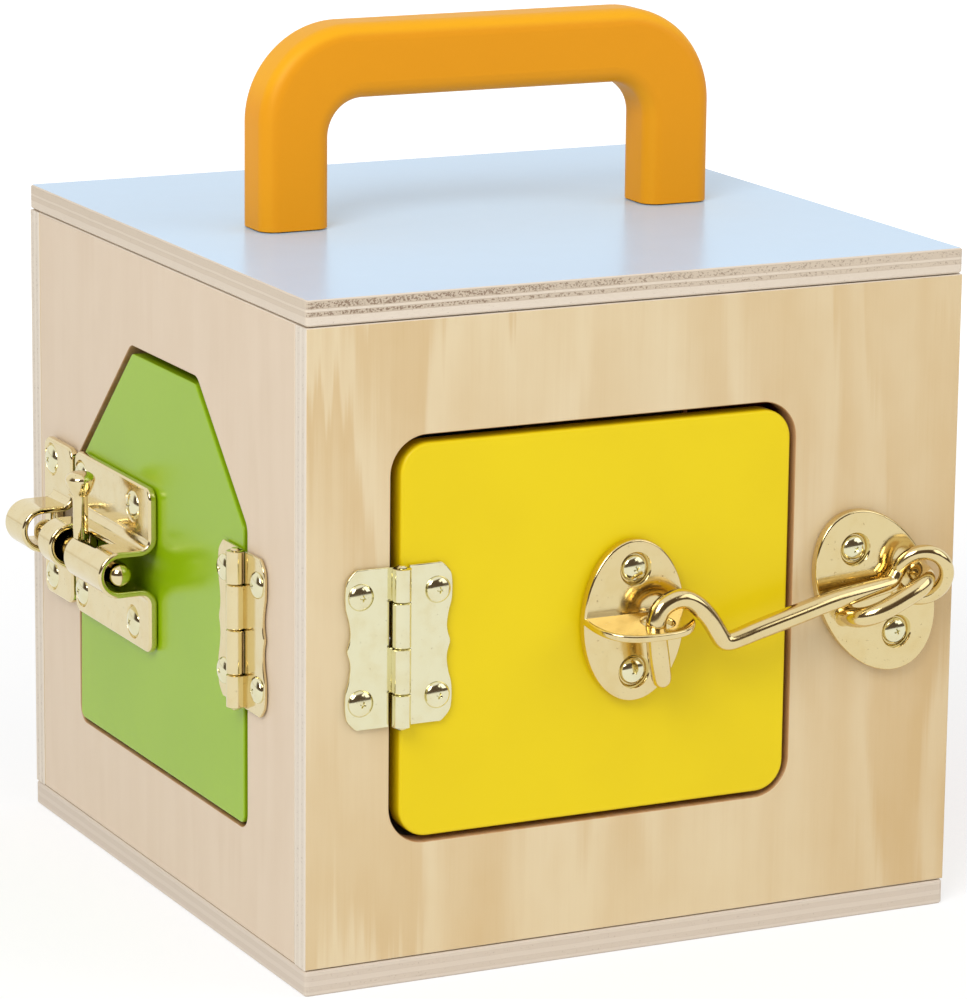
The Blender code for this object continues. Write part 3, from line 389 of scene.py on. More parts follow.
def tube(name, points, radii, around):  # a round bar with domed ends
    points = [Vector(p) for p in points]
    ends = [(points[0] - points[1]).normalized(), (points[-1] - points[-2]).normalized()]
    path = [points[0] + ends[0] * radii[0] * f for f in (0.98, 0.8, 0.45)] + points
    path += [points[-1] + ends[1] * radii[-1] * f for f in (0.45, 0.8, 0.98)]
    sizes = [radii[0] * f for f in (0.2, 0.6, 0.893)] + list(radii) + [radii[-1] * f for f in (0.893, 0.6, 0.2)]
    across = (path[1] - path[0]).orthogonal().normalized()
    corners = []
    for k, (centre, size) in enumerate(zip(path, sizes)):
        ahead = (path[min(k + 1, len(path) - 1)] - path[max(k - 1, 0)]).normalized()
        across = (across - ahead * across.dot(ahead)).normalized()
        other = ahead.cross(across)
        for j in range(around):
            angle = turnRound * j / around
            corners.append(centre + (across * cos(angle) + other * sin(angle)) * size)
    last = (len(path) - 1) * around
    ends = [tuple(reversed(range(around))), tuple(range(last, last + around))]
    return weld(fromFaces(name, corners, bands(len(path), around) + ends))


def lathe(name, profile, around):  # (radius, height) from the top down, turned about z
    angles = [turnRound * j / around for j in range(around)]
    corners = [(r * cos(angle), r * sin(angle), height) for r, height in profile for angle in angles]
    return weld(fromFaces(name, corners, [(a, d, c, b) for a, b, c, d in bands(len(profile), around)]))


def box(name, low, high):
    shape = bmesh.new()
    bmesh.ops.create_cube(shape, size=1.0)
    low, high = Vector(low), Vector(high)
    bmesh.ops.scale(shape, vec=high - low, verts=shape.verts)
    bmesh.ops.translate(shape, vec=(high + low) / 2, verts=shape.verts)
    mesh = bpy.data.meshes.new(name)
    shape.to_mesh(mesh)
    shape.free()
    return link(name, mesh)


def carve(target, tool, way="DIFFERENCE"):
    change = target.modifiers.new("change", "BOOLEAN")
    change.operation = way
    change.solver = "EXACT"
    change.object = tool
    bake(target)
    bpy.data.objects.remove(tool, do_unlink=True)
    return target


def move(piece, matrix):
    piece.data.transform(matrix)
    return piece


def merge(name, pieces):  # several meshes as one piece
    shape = bmesh.new()
    for piece in pieces:
        shape.from_mesh(piece.data)
    mesh = bpy.data.meshes.new(name)
    shape.to_mesh(mesh)
    shape.free()
    for piece in pieces:
        bpy.data.objects.remove(piece, do_unlink=True)
    return link(name, mesh)


def oval(halfWidth, halfLength, points, x=0.0, y=0.0):
    return [(x + halfWidth * cos(turnRound * k / points), y + halfLength * sin(turnRound * k / points))
            for k in range(points)]


def rectangle(left, base, width, height):
    return [(left, base), (left + width, base), (left + width, base + height), (left, base + height)]


def rounded(corners, radii, steps=10):
    ring = []
    for k, corner in enumerate(corners):
        radius = radii[k] if isinstance(radii, list) else radii
        here = Vector(corner)
        if radius == 0:
            ring.append(tuple(here))
            continue
        back = (Vector(corners[k - 1]) - here).normalized()
        ahead = (Vector(corners[(k + 1) % len(corners)]) - here).normalized()
        half = back.angle(ahead) / 2
        centre = here + (back + ahead).normalized() * radius / sin(half)
        start = here + back * radius / tan(half) - centre
        end = here + ahead * radius / tan(half) - centre
        sweep = start.angle_signed(end)
        for step in range(steps + 1):
            angle = -sweep * step / steps
            ring.append((centre.x + start.x * cos(angle) - start.y * sin(angle),
                         centre.y + start.x * sin(angle) + start.y * cos(angle)))
    return ring


def inset(corners, gap):
    moved = []
    for k, corner in enumerate(corners):
        here = Vector(corner)
        back = (here - Vector(corners[k - 1])).normalized()
        ahead = (Vector(corners[(k + 1) % len(corners)]) - here).normalized()
        first = Vector((-back.y, back.x))
        second = Vector((-ahead.y, ahead.x))
        moved.append(tuple(here + (first + second) * gap / (1 + first.dot(second))))
    return moved


def smoothPath(knots, steps):  # a curve through every knot
    knots = [Vector(k) for k in knots]
    last = len(knots) - 1
    points = []
    for k in range(last):
        before, start, end, after = (knots[max(0, min(k + ahead, last))] for ahead in (-1, 0, 1, 2))
        for step in range(steps):
            t = step / steps
            bend = 2 * before - 5 * start + 4 * end - after
            twist = 3 * start - before - 3 * end + after
            points.append(0.5 * (2 * start + (end - before) * t + bend * t ** 2 + twist * t ** 3))
    return points + [knots[-1]]


def halfRing(halfWidth, reach, squareness, steps):
    points = []
    for k in range(steps + 1):
        across = cos(pi * k / steps)
        out = max(sin(pi * k / steps), 0)
        points.append((halfWidth * copysign(abs(across) ** (2 / squareness), across),
                       reach * out ** (2 / squareness)))
    return points


def settle(piece, body, finish, *stands, slot="brass_plate"):  # finish, body to ride on, nodes it stands for
    piece.data.materials.clear()
    piece.data.materials.append(finishes[finish])
    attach(piece, body)
    if stands:
        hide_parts(*stands)
    return piece


# what repeats: screws and knuckles are set out on points

def setOutTree():
    tree = bpy.data.node_groups.new("setOut", "GeometryNodeTree")
    sockets = {}
    for name, kind in (("Layout", "Geometry"), ("Shape", "Object"), ("Size", "Float"), ("Spin", "Float"),
                       ("Seed", "Int"), ("Finish", "Material")):
        socket = tree.interface.new_socket(name, in_out="INPUT", socket_type="NodeSocket" + kind)
        sockets[name] = socket.identifier
    tree.interface.new_socket("Geometry", in_out="OUTPUT", socket_type="NodeSocketGeometry")

    add = partial(addNode, tree)
    given = add("NodeGroupInput").outputs
    turn, stretch = [add("GeometryNodeInputNamedAttribute", {"data_type": "FLOAT_VECTOR"}, {"Name": name})
                     for name in ("turn", "stretch")]
    low = add("ShaderNodeMath", {"operation": "MULTIPLY"}, {0: given["Spin"], 1: -1.0})
    chance = add("FunctionNodeRandomValue", {"data_type": "FLOAT"},
                 {2: low.outputs[0], 3: given["Spin"], "Seed": given["Seed"]})
    spun = add("ShaderNodeCombineXYZ", None, {2: chance.outputs[1]})
    standing = add("FunctionNodeEulerToRotation", None, {0: turn.outputs[0]})
    own = add("FunctionNodeEulerToRotation", None, {0: spun.outputs[0]})
    both = add("FunctionNodeRotateRotation", {"rotation_space": "LOCAL"},
               {0: standing.outputs[0], 1: own.outputs[0]})
    size = add("ShaderNodeVectorMath", {"operation": "SCALE"}, {0: stretch.outputs[0], "Scale": given["Size"]})
    shape = add("GeometryNodeObjectInfo", None, {"Object": given["Shape"]})
    spread = add("GeometryNodeInstanceOnPoints", None,
                 {"Points": given["Layout"], "Instance": shape.outputs["Geometry"], "Rotation": both.outputs[0],
                  "Scale": size.outputs[0]})
    real = add("GeometryNodeRealizeInstances", None, {0: spread.outputs[0]})
    covered = add("GeometryNodeSetMaterial", None, {"Geometry": real.outputs[0], "Material": given["Finish"]})
    add("NodeGroupOutput", None, {0: covered.outputs[0]})
    return tree, sockets


setOutGroup, setOutSockets = setOutTree()


def setOut(name, places, shape, spin=0.0, seed=1, size=1.0):  # places: point, turn and stretch
    piece = fromFaces(name, [place[0] for place in places], [])
    for key, column in (("turn", 1), ("stretch", 2)):
        store = piece.data.attributes.new(key, "FLOAT_VECTOR", "POINT")
        store.data.foreach_set("vector", [v for place in places for v in place[column]])
    change = piece.modifiers.new("setOut", "NODES")
    change.node_group = setOutGroup
    values = {"Shape": shape, "Size": size, "Spin": spin, "Seed": seed, "Finish": finishes["brass"]}
    for key, value in values.items():
        change[setOutSockets[key]] = value
    return bake(piece)


screw = {"radius": 0.0031, "height": 0.0015, "arm": 0.001, "armHalf": 0.00028, "recess": 0.0005, "sides": 40,
         "flare": 1.12, "taper": 0.42}


def screwHead():
    r, h = screw["radius"], screw["height"]
    dome = [(r * sin(quarter * k / 9), h * cos(quarter * k / 9) ** 0.9) for k in range(10)]
    head = lathe("screwHead", dome + [(r, -0.0002), (r * 0.8, -0.0004), (0, -0.0004)], screw["sides"])
    a, w = screw["arm"], screw["armHalf"]
    plus = [(a, -w * 0.8), (a, w * 0.8), (w, w), (w * 0.8, a), (-w * 0.8, a), (-w, w),
            (-a, w * 0.8), (-a, -w * 0.8), (-w, -w), (-w * 0.8, -a), (w * 0.8, -a), (w, -w)]
    top = [(x * screw["flare"], y * screw["flare"], h + 0.0004) for x, y in plus]
    foot = [(x * screw["taper"], y * screw["taper"], h - screw["recess"]) for x, y in plus]
    count = len(plus)
    sideFaces = [(k, (k + 1) % count, count + (k + 1) % count, count + k) for k in range(count)]
    ends = [tuple(range(count)), tuple(range(count, 2 * count))]
    return polish(carve(head, weld(fromFaces("recess", top + foot, sideFaces + ends))), radians(30))


screwShape = screwHead()
screwPlaces = {"box": [], "yellow_door": [], "green_door": [], "red_door": [], "blue_door": []}


def addScrew(body, matrix, x, y, z, radius):
    grow = radius / screw["radius"]
    screwPlaces[body].append((matrix @ Vector((x, y, z)), matrix.to_euler(), (grow, grow, grow)))


# hinges

hinge = {"length": 0.0375, "knuckle": 0.0022, "out": 0.0025, "end": 0.214, "gap": 0.0003, "leaf": 0.0009,
         "leafBase": 0.0003, "leafRound": 0.00025, "screwOut": 0.0096, "screwUp": 0.0124, "screwAt": 0.0011,
         "screwRadius": 0.0032, "pin": 0.0012, "pinOver": 0.0005, "pinRound": 0.0003, "knuckleRound": 0.00018,
         "webIn": 0.0002, "webOver": 0.0006, "tuck": 0.00002}
leafRise = [(0.0123, 0.0022), (0.0121, 0.0042), (0.0125, 0.0070), (0.0132, 0.0096), (0.0134, 0.0122),
            (0.0133, 0.0146), (0.0129, 0.0163), (0.0118, 0.0177), (0.0106, 0.01872), (0.0096, 0.01875)]
leafEdge = [(x, -y) for x, y in reversed(leafRise)] + [(0.0129, 0.0)] + leafRise  # the wavy outer edge


def knuckleShape():
    r = hinge["knuckle"]
    inner = r - hinge["knuckleRound"]
    profile = [(0, 0.5), (inner, 0.5), (r, 0.48), (r, -0.48), (inner, -0.5), (0, -0.5)]
    return polish(lathe("knuckle", profile, 36), radians(50))


knuckle = knuckleShape()


def makeHinge(colour, line):
    h, door = hinge, doors[colour]
    hand = door["hand"]  # 1: the frame lies to the right
    matrix = sides[door["side"]] @ shifted(line, door["hingeAt"], 0)
    finish = "brass" if door["side"] == "left" else "paleBrass"
    half = h["length"] / 2
    end = h["length"] * h["end"]
    levels = [half, half - end, 0, end - half, -half]
    spans = [(low, high) for high, low in zip(levels, levels[1:])]
    first = 0 if door["frameTop"] else 1
    curve = smoothPath(leafEdge, 4)
    for part, way, own, owner in (("Frame", hand, spans[first::2], "box"),
                                  ("Door", -hand, spans[1 - first::2], colour + "_door")):
        ring = [(way * h["out"], -half)] + [(way * x, y) for x, y in curve] + [(way * h["out"], half)]
        plate = slab("leaf", [ring], h["leaf"], h["leafRound"], 2)
        move(plate, shifted(0, 0, h["leafBase"] + h["leaf"] / 2))
        webs = []
        for low, high in own:
            inner, outer = sorted((h["webIn"] * way, (h["out"] + h["webOver"]) * way))
            webs.append(box("web", (inner, low + h["gap"] / 2, h["leafBase"] + h["tuck"]),
                            (outer, high - h["gap"] / 2, h["leafBase"] + h["leaf"] - h["tuck"])))
        places = [((0, (low + high) / 2, h["out"]), (-quarter, 0, 0), (1, 1, high - low - h["gap"]))
                  for low, high in own]
        barrels = setOut("barrels", places, knuckle)
        whole = merge(f"{colour}{part}Leaf", [plate, barrels] + webs)
        polish(whole, radians(35))
        settle(move(whole, matrix), owner, finish, f"{colour}_{part.lower()}_leaf")
        for up in (1, -1):
            addScrew(owner, matrix, way * h["screwOut"], up * h["screwUp"], h["screwAt"], h["screwRadius"])
    r, tip, soft = h["pin"], half + h["pinOver"], h["pinRound"]
    profile = [(0, tip), (r * 0.7, tip), (r, tip - soft), (r, soft - tip), (r * 0.7, -tip), (0, -tip)]
    pin = lathe("pin", profile, 24)
    polish(move(pin, shifted(0, 0, h["out"]) @ turned(-quarter, 0, 0)))
    pin.name = colour + "HingePin"
    settle(move(pin, matrix), "box", finish, colour + "_hinge_pin")


# doors

gap = 0.0019  # between a door and its opening
doorRound = 0.0008
wallRound = 0.0004
lowerPart = 0.045  # corners below this height belong to a door's lower edge
archRadius = 0.042  # the red door's round top
archTop = [(archRadius * cos(pi * k / 40), 0.088 + archRadius * sin(pi * k / 40)) for k in range(41)]
doors = {
    "yellow": {
        "side": "front", "corners": rectangle(-0.06405, 0.0335, 0.1046, 0.0957), "radii": [0.009] * 4, "hand": -1,
        "hingeAt": 0.0809, "frameTop": True, "hang": (0.0006, -0.0006), "hingeShift": 0.0008},
    "green": {
        "side": "left", "corners": [(-0.0532, 0.0307), (0.052, 0.0307), (0.052, 0.1033), (0.0225, 0.133),
                                    (-0.0184, 0.133), (-0.0532, 0.0989)], "radii": [0.004] * 6, "hand": 1,
        "hingeAt": 0.0793, "frameTop": False, "hang": (0.0, -0.001), "soft": 0.0004, "tight": (0, -0.0015)},
    "red": {
        "side": "right", "corners": [(-archRadius, 0.033), (archRadius, 0.033)] + archTop,
        "radii": [0.003] * 2 + [0] * 41, "hand": -1, "hingeAt": 0.062, "frameTop": True},
    "blue": {
        "side": "back", "corners": [(-0.05, 0.059), (-0.024, 0.033), (0.024, 0.033), (0.05, 0.059), (0.05, 0.103),
                                    (0.024, 0.129), (-0.024, 0.129), (-0.05, 0.103)], "radii": [0.002] * 8,
        "hand": -1, "hingeAt": 0.081, "frameTop": True}}


def makeDoor(colour, door):
    radii = [max(radius - gap, 0.001) if radius else 0 for radius in door["radii"]]
    aside, down = door.get("hang", (0, 0))  # the lower edge hangs closer to its opening
    outline = [(x + aside, y + (down if y < lowerPart else 0)) for x, y in inset(door["corners"], gap)]
    if "tight" in door:  # the corner that almost touches its opening
        corner, shift = door["tight"]
        outline[corner] = (outline[corner][0] + shift, outline[corner][1])
    panel = slab(colour + "Door", [rounded(outline, radii)], ply, door.get("soft", doorRound), 4)
    move(panel, sides[door["side"]] @ shifted(0, 0, -ply / 2))
    settle(polish(panel), colour + "_door", colour, colour + "_door", slot=colour + "_lacquer")
    across = [x for x, y in door["corners"]]
    edge = min(across) if door["hand"] < 0 else max(across)
    makeHinge(colour, edge - door["hand"] * gap / 2 + door.get("hingeShift", 0))


def makePanel(door):  # the wall around a door
    name = door["side"] + "_panel"
    inward = sides[door["side"]].inverted() @ nodes[name].matrix_world
    spots = [inward @ Vector(corner) for corner in nodes[name].bound_box]
    low = [min(spot[k] for spot in spots) for k in range(2)]
    high = [max(spot[k] for spot in spots) for k in range(2)]
    rings = [rectangle(low[0], low[1], high[0] - low[0], high[1] - low[1]),
             rounded(door["corners"], door["radii"], 12)]
    wall = slab(door["side"] + "Panel", rings, ply, wallRound, 2)
    move(wall, sides[door["side"]] @ shifted(0, 0, -ply / 2))
    settle(polish(wall), "box", door["side"] + "Panel", name, slot="birch_plywood")


for doorColour, doorFacts in doors.items():
    makeDoor(doorColour, doorFacts)
    makePanel(doorFacts)
print("doors, hinges and walls made")


# carrying handle

handle = {"span": 0.121, "shift": 0.0006, "rise": 0.0487, "leg": 0.0179, "bar": 0.0181, "depth": 0.015,
          "back": 0.003, "outer": 0.0237, "inner": 0.009, "round": 0.0041, "foot": 0.1623, "buried": 0.012}


def makeHandle():
    half = handle["span"] / 2
    inner = half - handle["leg"]
    under = handle["rise"] - handle["bar"]
    down = -handle["buried"]  # cut off again at the foot, so that the feet end in sharp edges
    corners = [(-half, down), (-inner, down), (-inner, under), (inner, under), (inner, down), (half, down),
               (half, handle["rise"]), (-half, handle["rise"])]
    radii = [0, 0, handle["inner"], handle["inner"], 0, 0, handle["outer"], handle["outer"]]
    bow = slab("carryHandle", [rounded(corners, radii, 24)], handle["depth"], handle["round"], 5)
    carve(bow, box("footCut", (-0.1, -0.05, -0.05), (0.1, 0, 0.05)))
    polish(bow, radians(60))
    move(bow, shifted(handle["shift"], handle["back"], handle["foot"]) @ turned(quarter, 0, 0))
    settle(bow, "box", "orange", "carry_handle", slot="orange_lacquer")


makeHandle()
print("handle made")


# hook latch on the front

seat = [(0.0046, 0.001), (0.0041, 0), (0.0036, -0.0007), (0.0034, -0.0012)]  # a dish: its radius and height
seatDepth = 0.0011  # how far a screw's rim lies below the plate's face
seatRadius = 0.0032
plateRound = 0.0006


def dish(plate, profile, top, x, y):
    rise, sink = profile[0][1], profile[-1][1]
    cutter = lathe("dish", [(0, top + rise)] + [(r, top + z) for r, z in profile] + [(0, top + sink)], 36)
    carve(plate, move(cutter, shifted(x, y, 0)))


def ovalFitting(name, facts, matrix, part, body, node):  # the plate, with its loop or shelf, and its two screws
    thickness = facts["thickness"]
    plate = slab(name, [oval(facts["halfWidth"], facts["halfLength"], 64)], thickness, plateRound, 4)
    move(plate, shifted(0, 0, seam + thickness / 2))
    for up in (1, -1):
        dish(plate, seat, seam + thickness, 0, up * facts["screwOut"])
        addScrew(body, matrix, 0, up * facts["screwOut"], seam + thickness - seatDepth, seatRadius)
    settle(move(merge(name, [polish(plate), polish(part)]), matrix), body, "goldBrass", node)


staple = {"spot": (0.06195, 0.0816), "tilt": radians(29.4), "halfWidth": 0.0147, "halfLength": 0.0215,
          "thickness": 0.0026, "screwOut": 0.0122, "wire": 0.0024, "halfSpan": 0.0108, "rise": 0.0115,
          "loopSpot": (0.001, -0.0013), "loopTurn": radians(-5.2), "squareness": 3.0, "thicker": 0.0012,
          "fade": 0.0032}


def makeStaple():
    s = staple
    matrix = sides["front"] @ shifted(*s["spot"], 0) @ turned(0, 0, s["tilt"])
    root = seam + s["thickness"] / 2
    arch = halfRing(s["halfSpan"], s["rise"] - root, s["squareness"], 48)
    radii = [s["wire"] + s["thicker"] * max(0, 1 - out / s["fade"]) ** 2 for x, out in arch]  # thick roots
    loop = tube("loop", [(x, 0, root + out) for x, out in arch], radii, 24)
    move(loop, shifted(*s["loopSpot"], 0) @ turned(0, 0, s["loopTurn"]))
    ovalFitting("staplePlate", s, matrix, loop, "box", "staple_plate")


catch = {"spot": (-0.00275, 0.0811), "halfWidth": 0.0132, "halfLength": 0.0193, "thickness": 0.0026,
         "screwOut": 0.01225, "reach": 0.0158, "shelf": 0.0018, "rootTop": 0.083, "slope": radians(9),
         "shelfHalf": 0.0133, "squareness": 2.8, "hole": 0.0037, "holeOut": 0.0088, "holeAside": 0.0028}


def makeCatch():
    c = catch
    root = seam + c["thickness"] / 2
    rim = halfRing(c["shelfHalf"], c["reach"] - root, c["squareness"], 64)
    hole = oval(c["hole"], c["hole"], 40, c["holeAside"], c["holeOut"] - root)
    shelf = slab("shelf", [rim, hole], c["shelf"], plateRound, 4)
    base = c["rootTop"] - c["shelf"] / 2 - c["spot"][1]
    move(shelf, shifted(0, base, root) @ turned(quarter + c["slope"], 0, 0))
    ovalFitting("catchPlate", c, sides["front"] @ shifted(*c["spot"], 0), shelf, "yellow_door", "catch_plate")


hook = {"pivot": (0.07165, 0.0854, 0.0079), "wire": 0.002, "eyeWire": 0.9, "eye": 0.0061,
        "eyeTurn": radians(-21), "eyeTip": radians(11), "eyeFrom": -150, "eyeTo": 168, "behind": 0.0026}
hookPath = [  # x, y, z from the pivot, and the wire's thickness there
    (-0.0067, -0.0003, -0.0018, 0.94), (-0.0079, -0.0014, -0.0014, 0.96), (-0.0120, -0.0019, -0.0008, 1.04),
    (-0.0242, -0.0034, 0.0001, 1.19), (-0.0340, -0.0055, 0.0008, 1.22), (-0.0450, -0.0080, 0.0013, 1.21),
    (-0.0492, -0.0091, 0.0015, 1.18), (-0.0530, -0.0099, 0.0016, 1.16), (-0.0548, -0.0093, 0.0016, 1.16),
    (-0.0563, -0.0072, 0.0016, 1.16), (-0.0585, -0.0038, 0.0016, 1.16), (-0.0615, -0.0006, 0.0016, 1.18),
    (-0.0648, 0.0014, 0.0016, 1.18), (-0.0681, 0.0014, 0.0016, 1.18), (-0.0711, -0.0003, 0.0016, 1.18),
    (-0.0724, -0.0034, 0.0016, 1.21), (-0.0721, -0.0079, 0.0016, 1.25), (-0.0715, -0.0125, 0.0016, 1.28),
    (-0.0707, -0.0169, 0.0016, 1.18)]


def makeHook():  # one wire: the eye is bent from the end of the shank
    leaning = turned(hook["eyeTip"], hook["eyeTurn"], 0)
    start, end = hook["eyeFrom"], hook["eyeTo"]
    count = 24
    eye = []
    for k in range(count + 1):
        angle = radians(start + (end - start) * k / count)
        place = leaning @ Vector((hook["eye"] * cos(angle), hook["eye"] * sin(angle), 0))
        eye.append((place.x, place.y, place.z - hook["behind"] * (1 - k / count) ** 2, hook["eyeWire"]))
    path = smoothPath(eye + hookPath, 4)
    bar = tube("cabinHook", [p.xyz for p in path], [p.w * hook["wire"] for p in path], 24)
    move(polish(bar, radians(70)), sides["front"] @ shifted(*hook["pivot"]))
    settle(bar, "cabin_hook", "goldBrass", "cabin_hook")


makeStaple()
makeCatch()
makeHook()
print("hook latch made")


# barrel bolt on the left side

bolt = {"line": 0.0806, "axis": 0.0098, "left": -0.0499, "right": -0.0012, "halfHeight": 0.0204, "corner": 0.003,
        "mouth": -0.0421, "bore": 0.0041, "wall": 0.0016, "plate": 0.0022, "flare": 0.0024, "rim": 0.0007,
        "screwUp": 0.0145, "screwIn": -0.0117, "screwOut": -0.0453, "screwSize": 0.0037, "rod": 0.003,
        "tail": 0.0004, "stemAt": -0.0272, "stem": 0.0019, "throw": 0.0042, "draw": 0.0138, "clear": 0.0003,
        "seatDepth": 0.0007, "slotTop": radians(31), "over": 0.002, "punch": 0.04, "punchLow": 0.0005,
        "join": 0.00003, "even": radians(0.4)}
keeper = {"gap": 0.0022, "width": 0.0186, "halfHeight": 0.02, "depth": 0.0125, "screwIn": 0.0053,
          "screwUp": 0.0148}
boltSeat = sides["left"] @ shifted(0, bolt["line"], 0)
knobProfile = [
    (0, 0.0202), (0.0012, 0.02015), (0.0023, 0.0200), (0.0031, 0.0195), (0.0036, 0.0188), (0.0037, 0.0183),
    (0.0036, 0.0178), (0.0034, 0.0171), (0.0031, 0.0162), (0.0027, 0.0154), (0.0022, 0.0147)]


def archSection(edge):  # the pressed plate's outer and inner skin, from its upper to its lower edge
    b = bolt
    top = seam + b["plate"]
    wide = b["bore"] + b["wall"]
    flare = b["flare"]
    half = [((edge, top), (edge, seam))]
    for k in range(9):
        across, up = sin(quarter * k / 8), cos(quarter * k / 8)
        half.append(((wide + flare * (1 - across), top + flare * (1 - up)),
                     (wide + flare - (b["wall"] + flare) * across, top + flare - (b["plate"] + flare) * up)))
    low = b["axis"] - b["stem"] - b["clear"]
    if low > top + flare:
        half.append(((wide, low), (b["bore"], low)))
    mirrored = [((-a[0], a[1]), (-c[0], c[1])) for a, c in reversed(half)]
    crown = []
    for k in range(25):
        x, y = cos(pi * k / 24), sin(pi * k / 24)
        crown.append(((wide * x, b["axis"] + wide * y), (b["bore"] * x, b["axis"] + b["bore"] * y)))
    return half + crown + mirrored


def archSheet(name, stations, edge, isCut):  # the section along the stations, without the cells that are cut
    section = archSection(edge)
    rows = len(section)
    corners = []
    for u in stations:
        for skin in (0, 1):
            corners += [(u, y, z) for y, z in (pair[skin] for pair in section)]

    def at(k, j, skin):
        return (2 * k + skin) * rows + j

    def solid(k, j):
        if not (0 <= k < len(stations) - 1 and 0 <= j < rows - 1):
            return False
        y = (section[j][0][0] + section[j + 1][0][0]) / 2
        z = (section[j][0][1] + section[j + 1][0][1]) / 2
        return not isCut((stations[k] + stations[k + 1]) / 2, y, z)

    faces = []
    for k in range(len(stations) - 1):
        for j in range(rows - 1):
            if not solid(k, j):
                continue
            faces.append((at(k, j, 0), at(k, j + 1, 0), at(k + 1, j + 1, 0), at(k + 1, j, 0)))
            faces.append((at(k, j, 1), at(k + 1, j, 1), at(k + 1, j + 1, 1), at(k, j + 1, 1)))
            around = (((k - 1, j), (k, j), (k, j + 1)), ((k + 1, j), (k + 1, j), (k + 1, j + 1)),
                      ((k, j - 1), (k, j), (k + 1, j)), ((k, j + 1), (k, j + 1), (k + 1, j + 1)))
            for near, first, second in around:
                if not solid(*near):
                    faces.append((at(*first, 0), at(*second, 0), at(*second, 1), at(*first, 1)))

    def dropLoose(shape):
        bmesh.ops.delete(shape, geom=[v for v in shape.verts if not v.link_faces], context="VERTS")

    return weld(reshape(fromFaces(name, corners, faces), dropLoose))


def pressed(name, left, right, halfHeight, mouth, screwSpots, inner=(), isCut=lambda u, y, z: False):
    b = bolt
    top = seam + b["plate"]
    over = b["over"]  # what the trim takes off again
    edge = halfHeight + over
    sheet = archSheet(name, [mouth] + list(inner) + [right + over], edge, isCut)
    carve(sheet, box("flat", (left - over, -edge, seam), (mouth + b["rim"] * 2, edge, top)), "UNION")
    outline = rounded(rectangle(left, -halfHeight, right - left, 2 * halfHeight), b["corner"], 8)
    punch = slab("trim", [outline], b["punch"])  # reaches through the whole sheet
    carve(sheet, move(punch, shifted(0, 0, b["punch"] / 2 - b["punchLow"])), "INTERSECT")
    reshape(weld(sheet, b["join"]), lambda shape: bmesh.ops.dissolve_limit(
        shape, angle_limit=b["even"], verts=shape.verts, edges=shape.edges))
    polish(sheet, radians(55), b["rim"])
    size = b["screwSize"]
    profile = [(size + 0.001, 0.001), (size + 0.0005, 0), (size + 0.0002, -0.0005), (size, -0.0009)]
    for x, y in screwSpots:
        dish(sheet, profile, top, x, y)
    return polish(sheet, radians(34))


def makeBolt():
    b = bolt
    clear = b["clear"]
    margin = b["stem"] + clear
    notch = (b["stemAt"] - b["throw"] - margin - clear, b["stemAt"] + margin + clear)
    slotEnd = b["stemAt"] + b["draw"] + margin
    high = b["axis"] + (b["bore"] + b["wall"]) * sin(b["slotTop"])

    def isCut(u, y, z):  # the notch that the knob turns into, and the slot that its stem slides in
        crown = notch[0] < u < notch[1] and z > b["axis"]
        slot = notch[0] < u < slotEnd and y > 0 and b["axis"] - margin < z < high
        return crown or slot

    def fasten(piece, body, node, spots):
        settle(move(piece, boltSeat), body, "brass", node)
        for x, y in spots:
            addScrew(body, boltSeat, x, y, seam + b["plate"] - b["seatDepth"], b["screwSize"])

    spots = [(x, y) for x in (b["screwIn"], b["screwOut"]) for y in (b["screwUp"], -b["screwUp"])]
    inner = notch + (slotEnd,)
    plate = pressed("boltBody", b["left"], b["right"], b["halfHeight"], b["mouth"], spots, inner, isCut)
    fasten(plate, "green_door", "bolt_body", spots)
    right = b["left"] - keeper["gap"]
    left = right - keeper["width"]
    spots = [(left + keeper["screwIn"], up * keeper["screwUp"]) for up in (1, -1)]
    plate = pressed("boltKeeper", left, right, keeper["halfHeight"], right - keeper["depth"], spots)
    fasten(plate, "box", "bolt_keeper", spots)

    r = b["rod"]
    end = right + seam
    ball = [(r * sin(quarter * k / 10), b["tail"] - r * (1 - cos(quarter * k / 10))) for k in range(11)]
    rod = lathe("boltRod", ball + [(r, end + 0.0006), (r - 0.0006, end), (0, end)], 36)
    move(polish(rod), boltSeat @ shifted(0, 0, b["axis"]) @ turned(0, quarter, 0))
    settle(rod, "bolt_rod", "brass", "bolt_rod")

    foot = [(b["stem"], 0.0142), (b["stem"], r + 0.0006), (b["stem"] - 0.0003, r + 0.0003), (0, r + 0.0003)]
    knob = lathe("boltKnob", knobProfile + foot, 36)
    move(polish(knob), boltSeat @ shifted(b["stemAt"], 0, b["axis"]) @ turned(-quarter, 0, 0))
    settle(knob, "bolt_knob", "brass", "bolt_knob")


makeBolt()
print("barrel bolt made")


# turn buttons on the two sides away from the front

button = {"length": 0.03, "width": 0.011, "thickness": 0.0035, "clear": 0.002, "round": 0.001, "screw": 0.0034}


def makeButton(colour):
    b, door = button, doors[colour]
    edge = max(x for x, y in door["corners"])
    matrix = sides[door["side"]] @ shifted(edge + b["clear"] + b["width"] / 2, door["hingeAt"], 0)
    corners = rectangle(-b["width"] / 2, -b["length"] / 2, b["width"], b["length"])
    ring = rounded(corners, b["width"] / 2 - 0.0001, 16)
    bar = slab(colour + "TurnButton", [ring], b["thickness"], b["round"], 4)
    move(bar, shifted(0, 0, seam + b["thickness"] / 2))
    settle(move(polish(bar), matrix), colour + "_turn_button", "brass", colour + "_turn_button")
    addScrew("box", matrix, 0, 0, 2 * seam + b["thickness"], b["screw"])


makeButton("red")
makeButton("blue")


# every screw in view

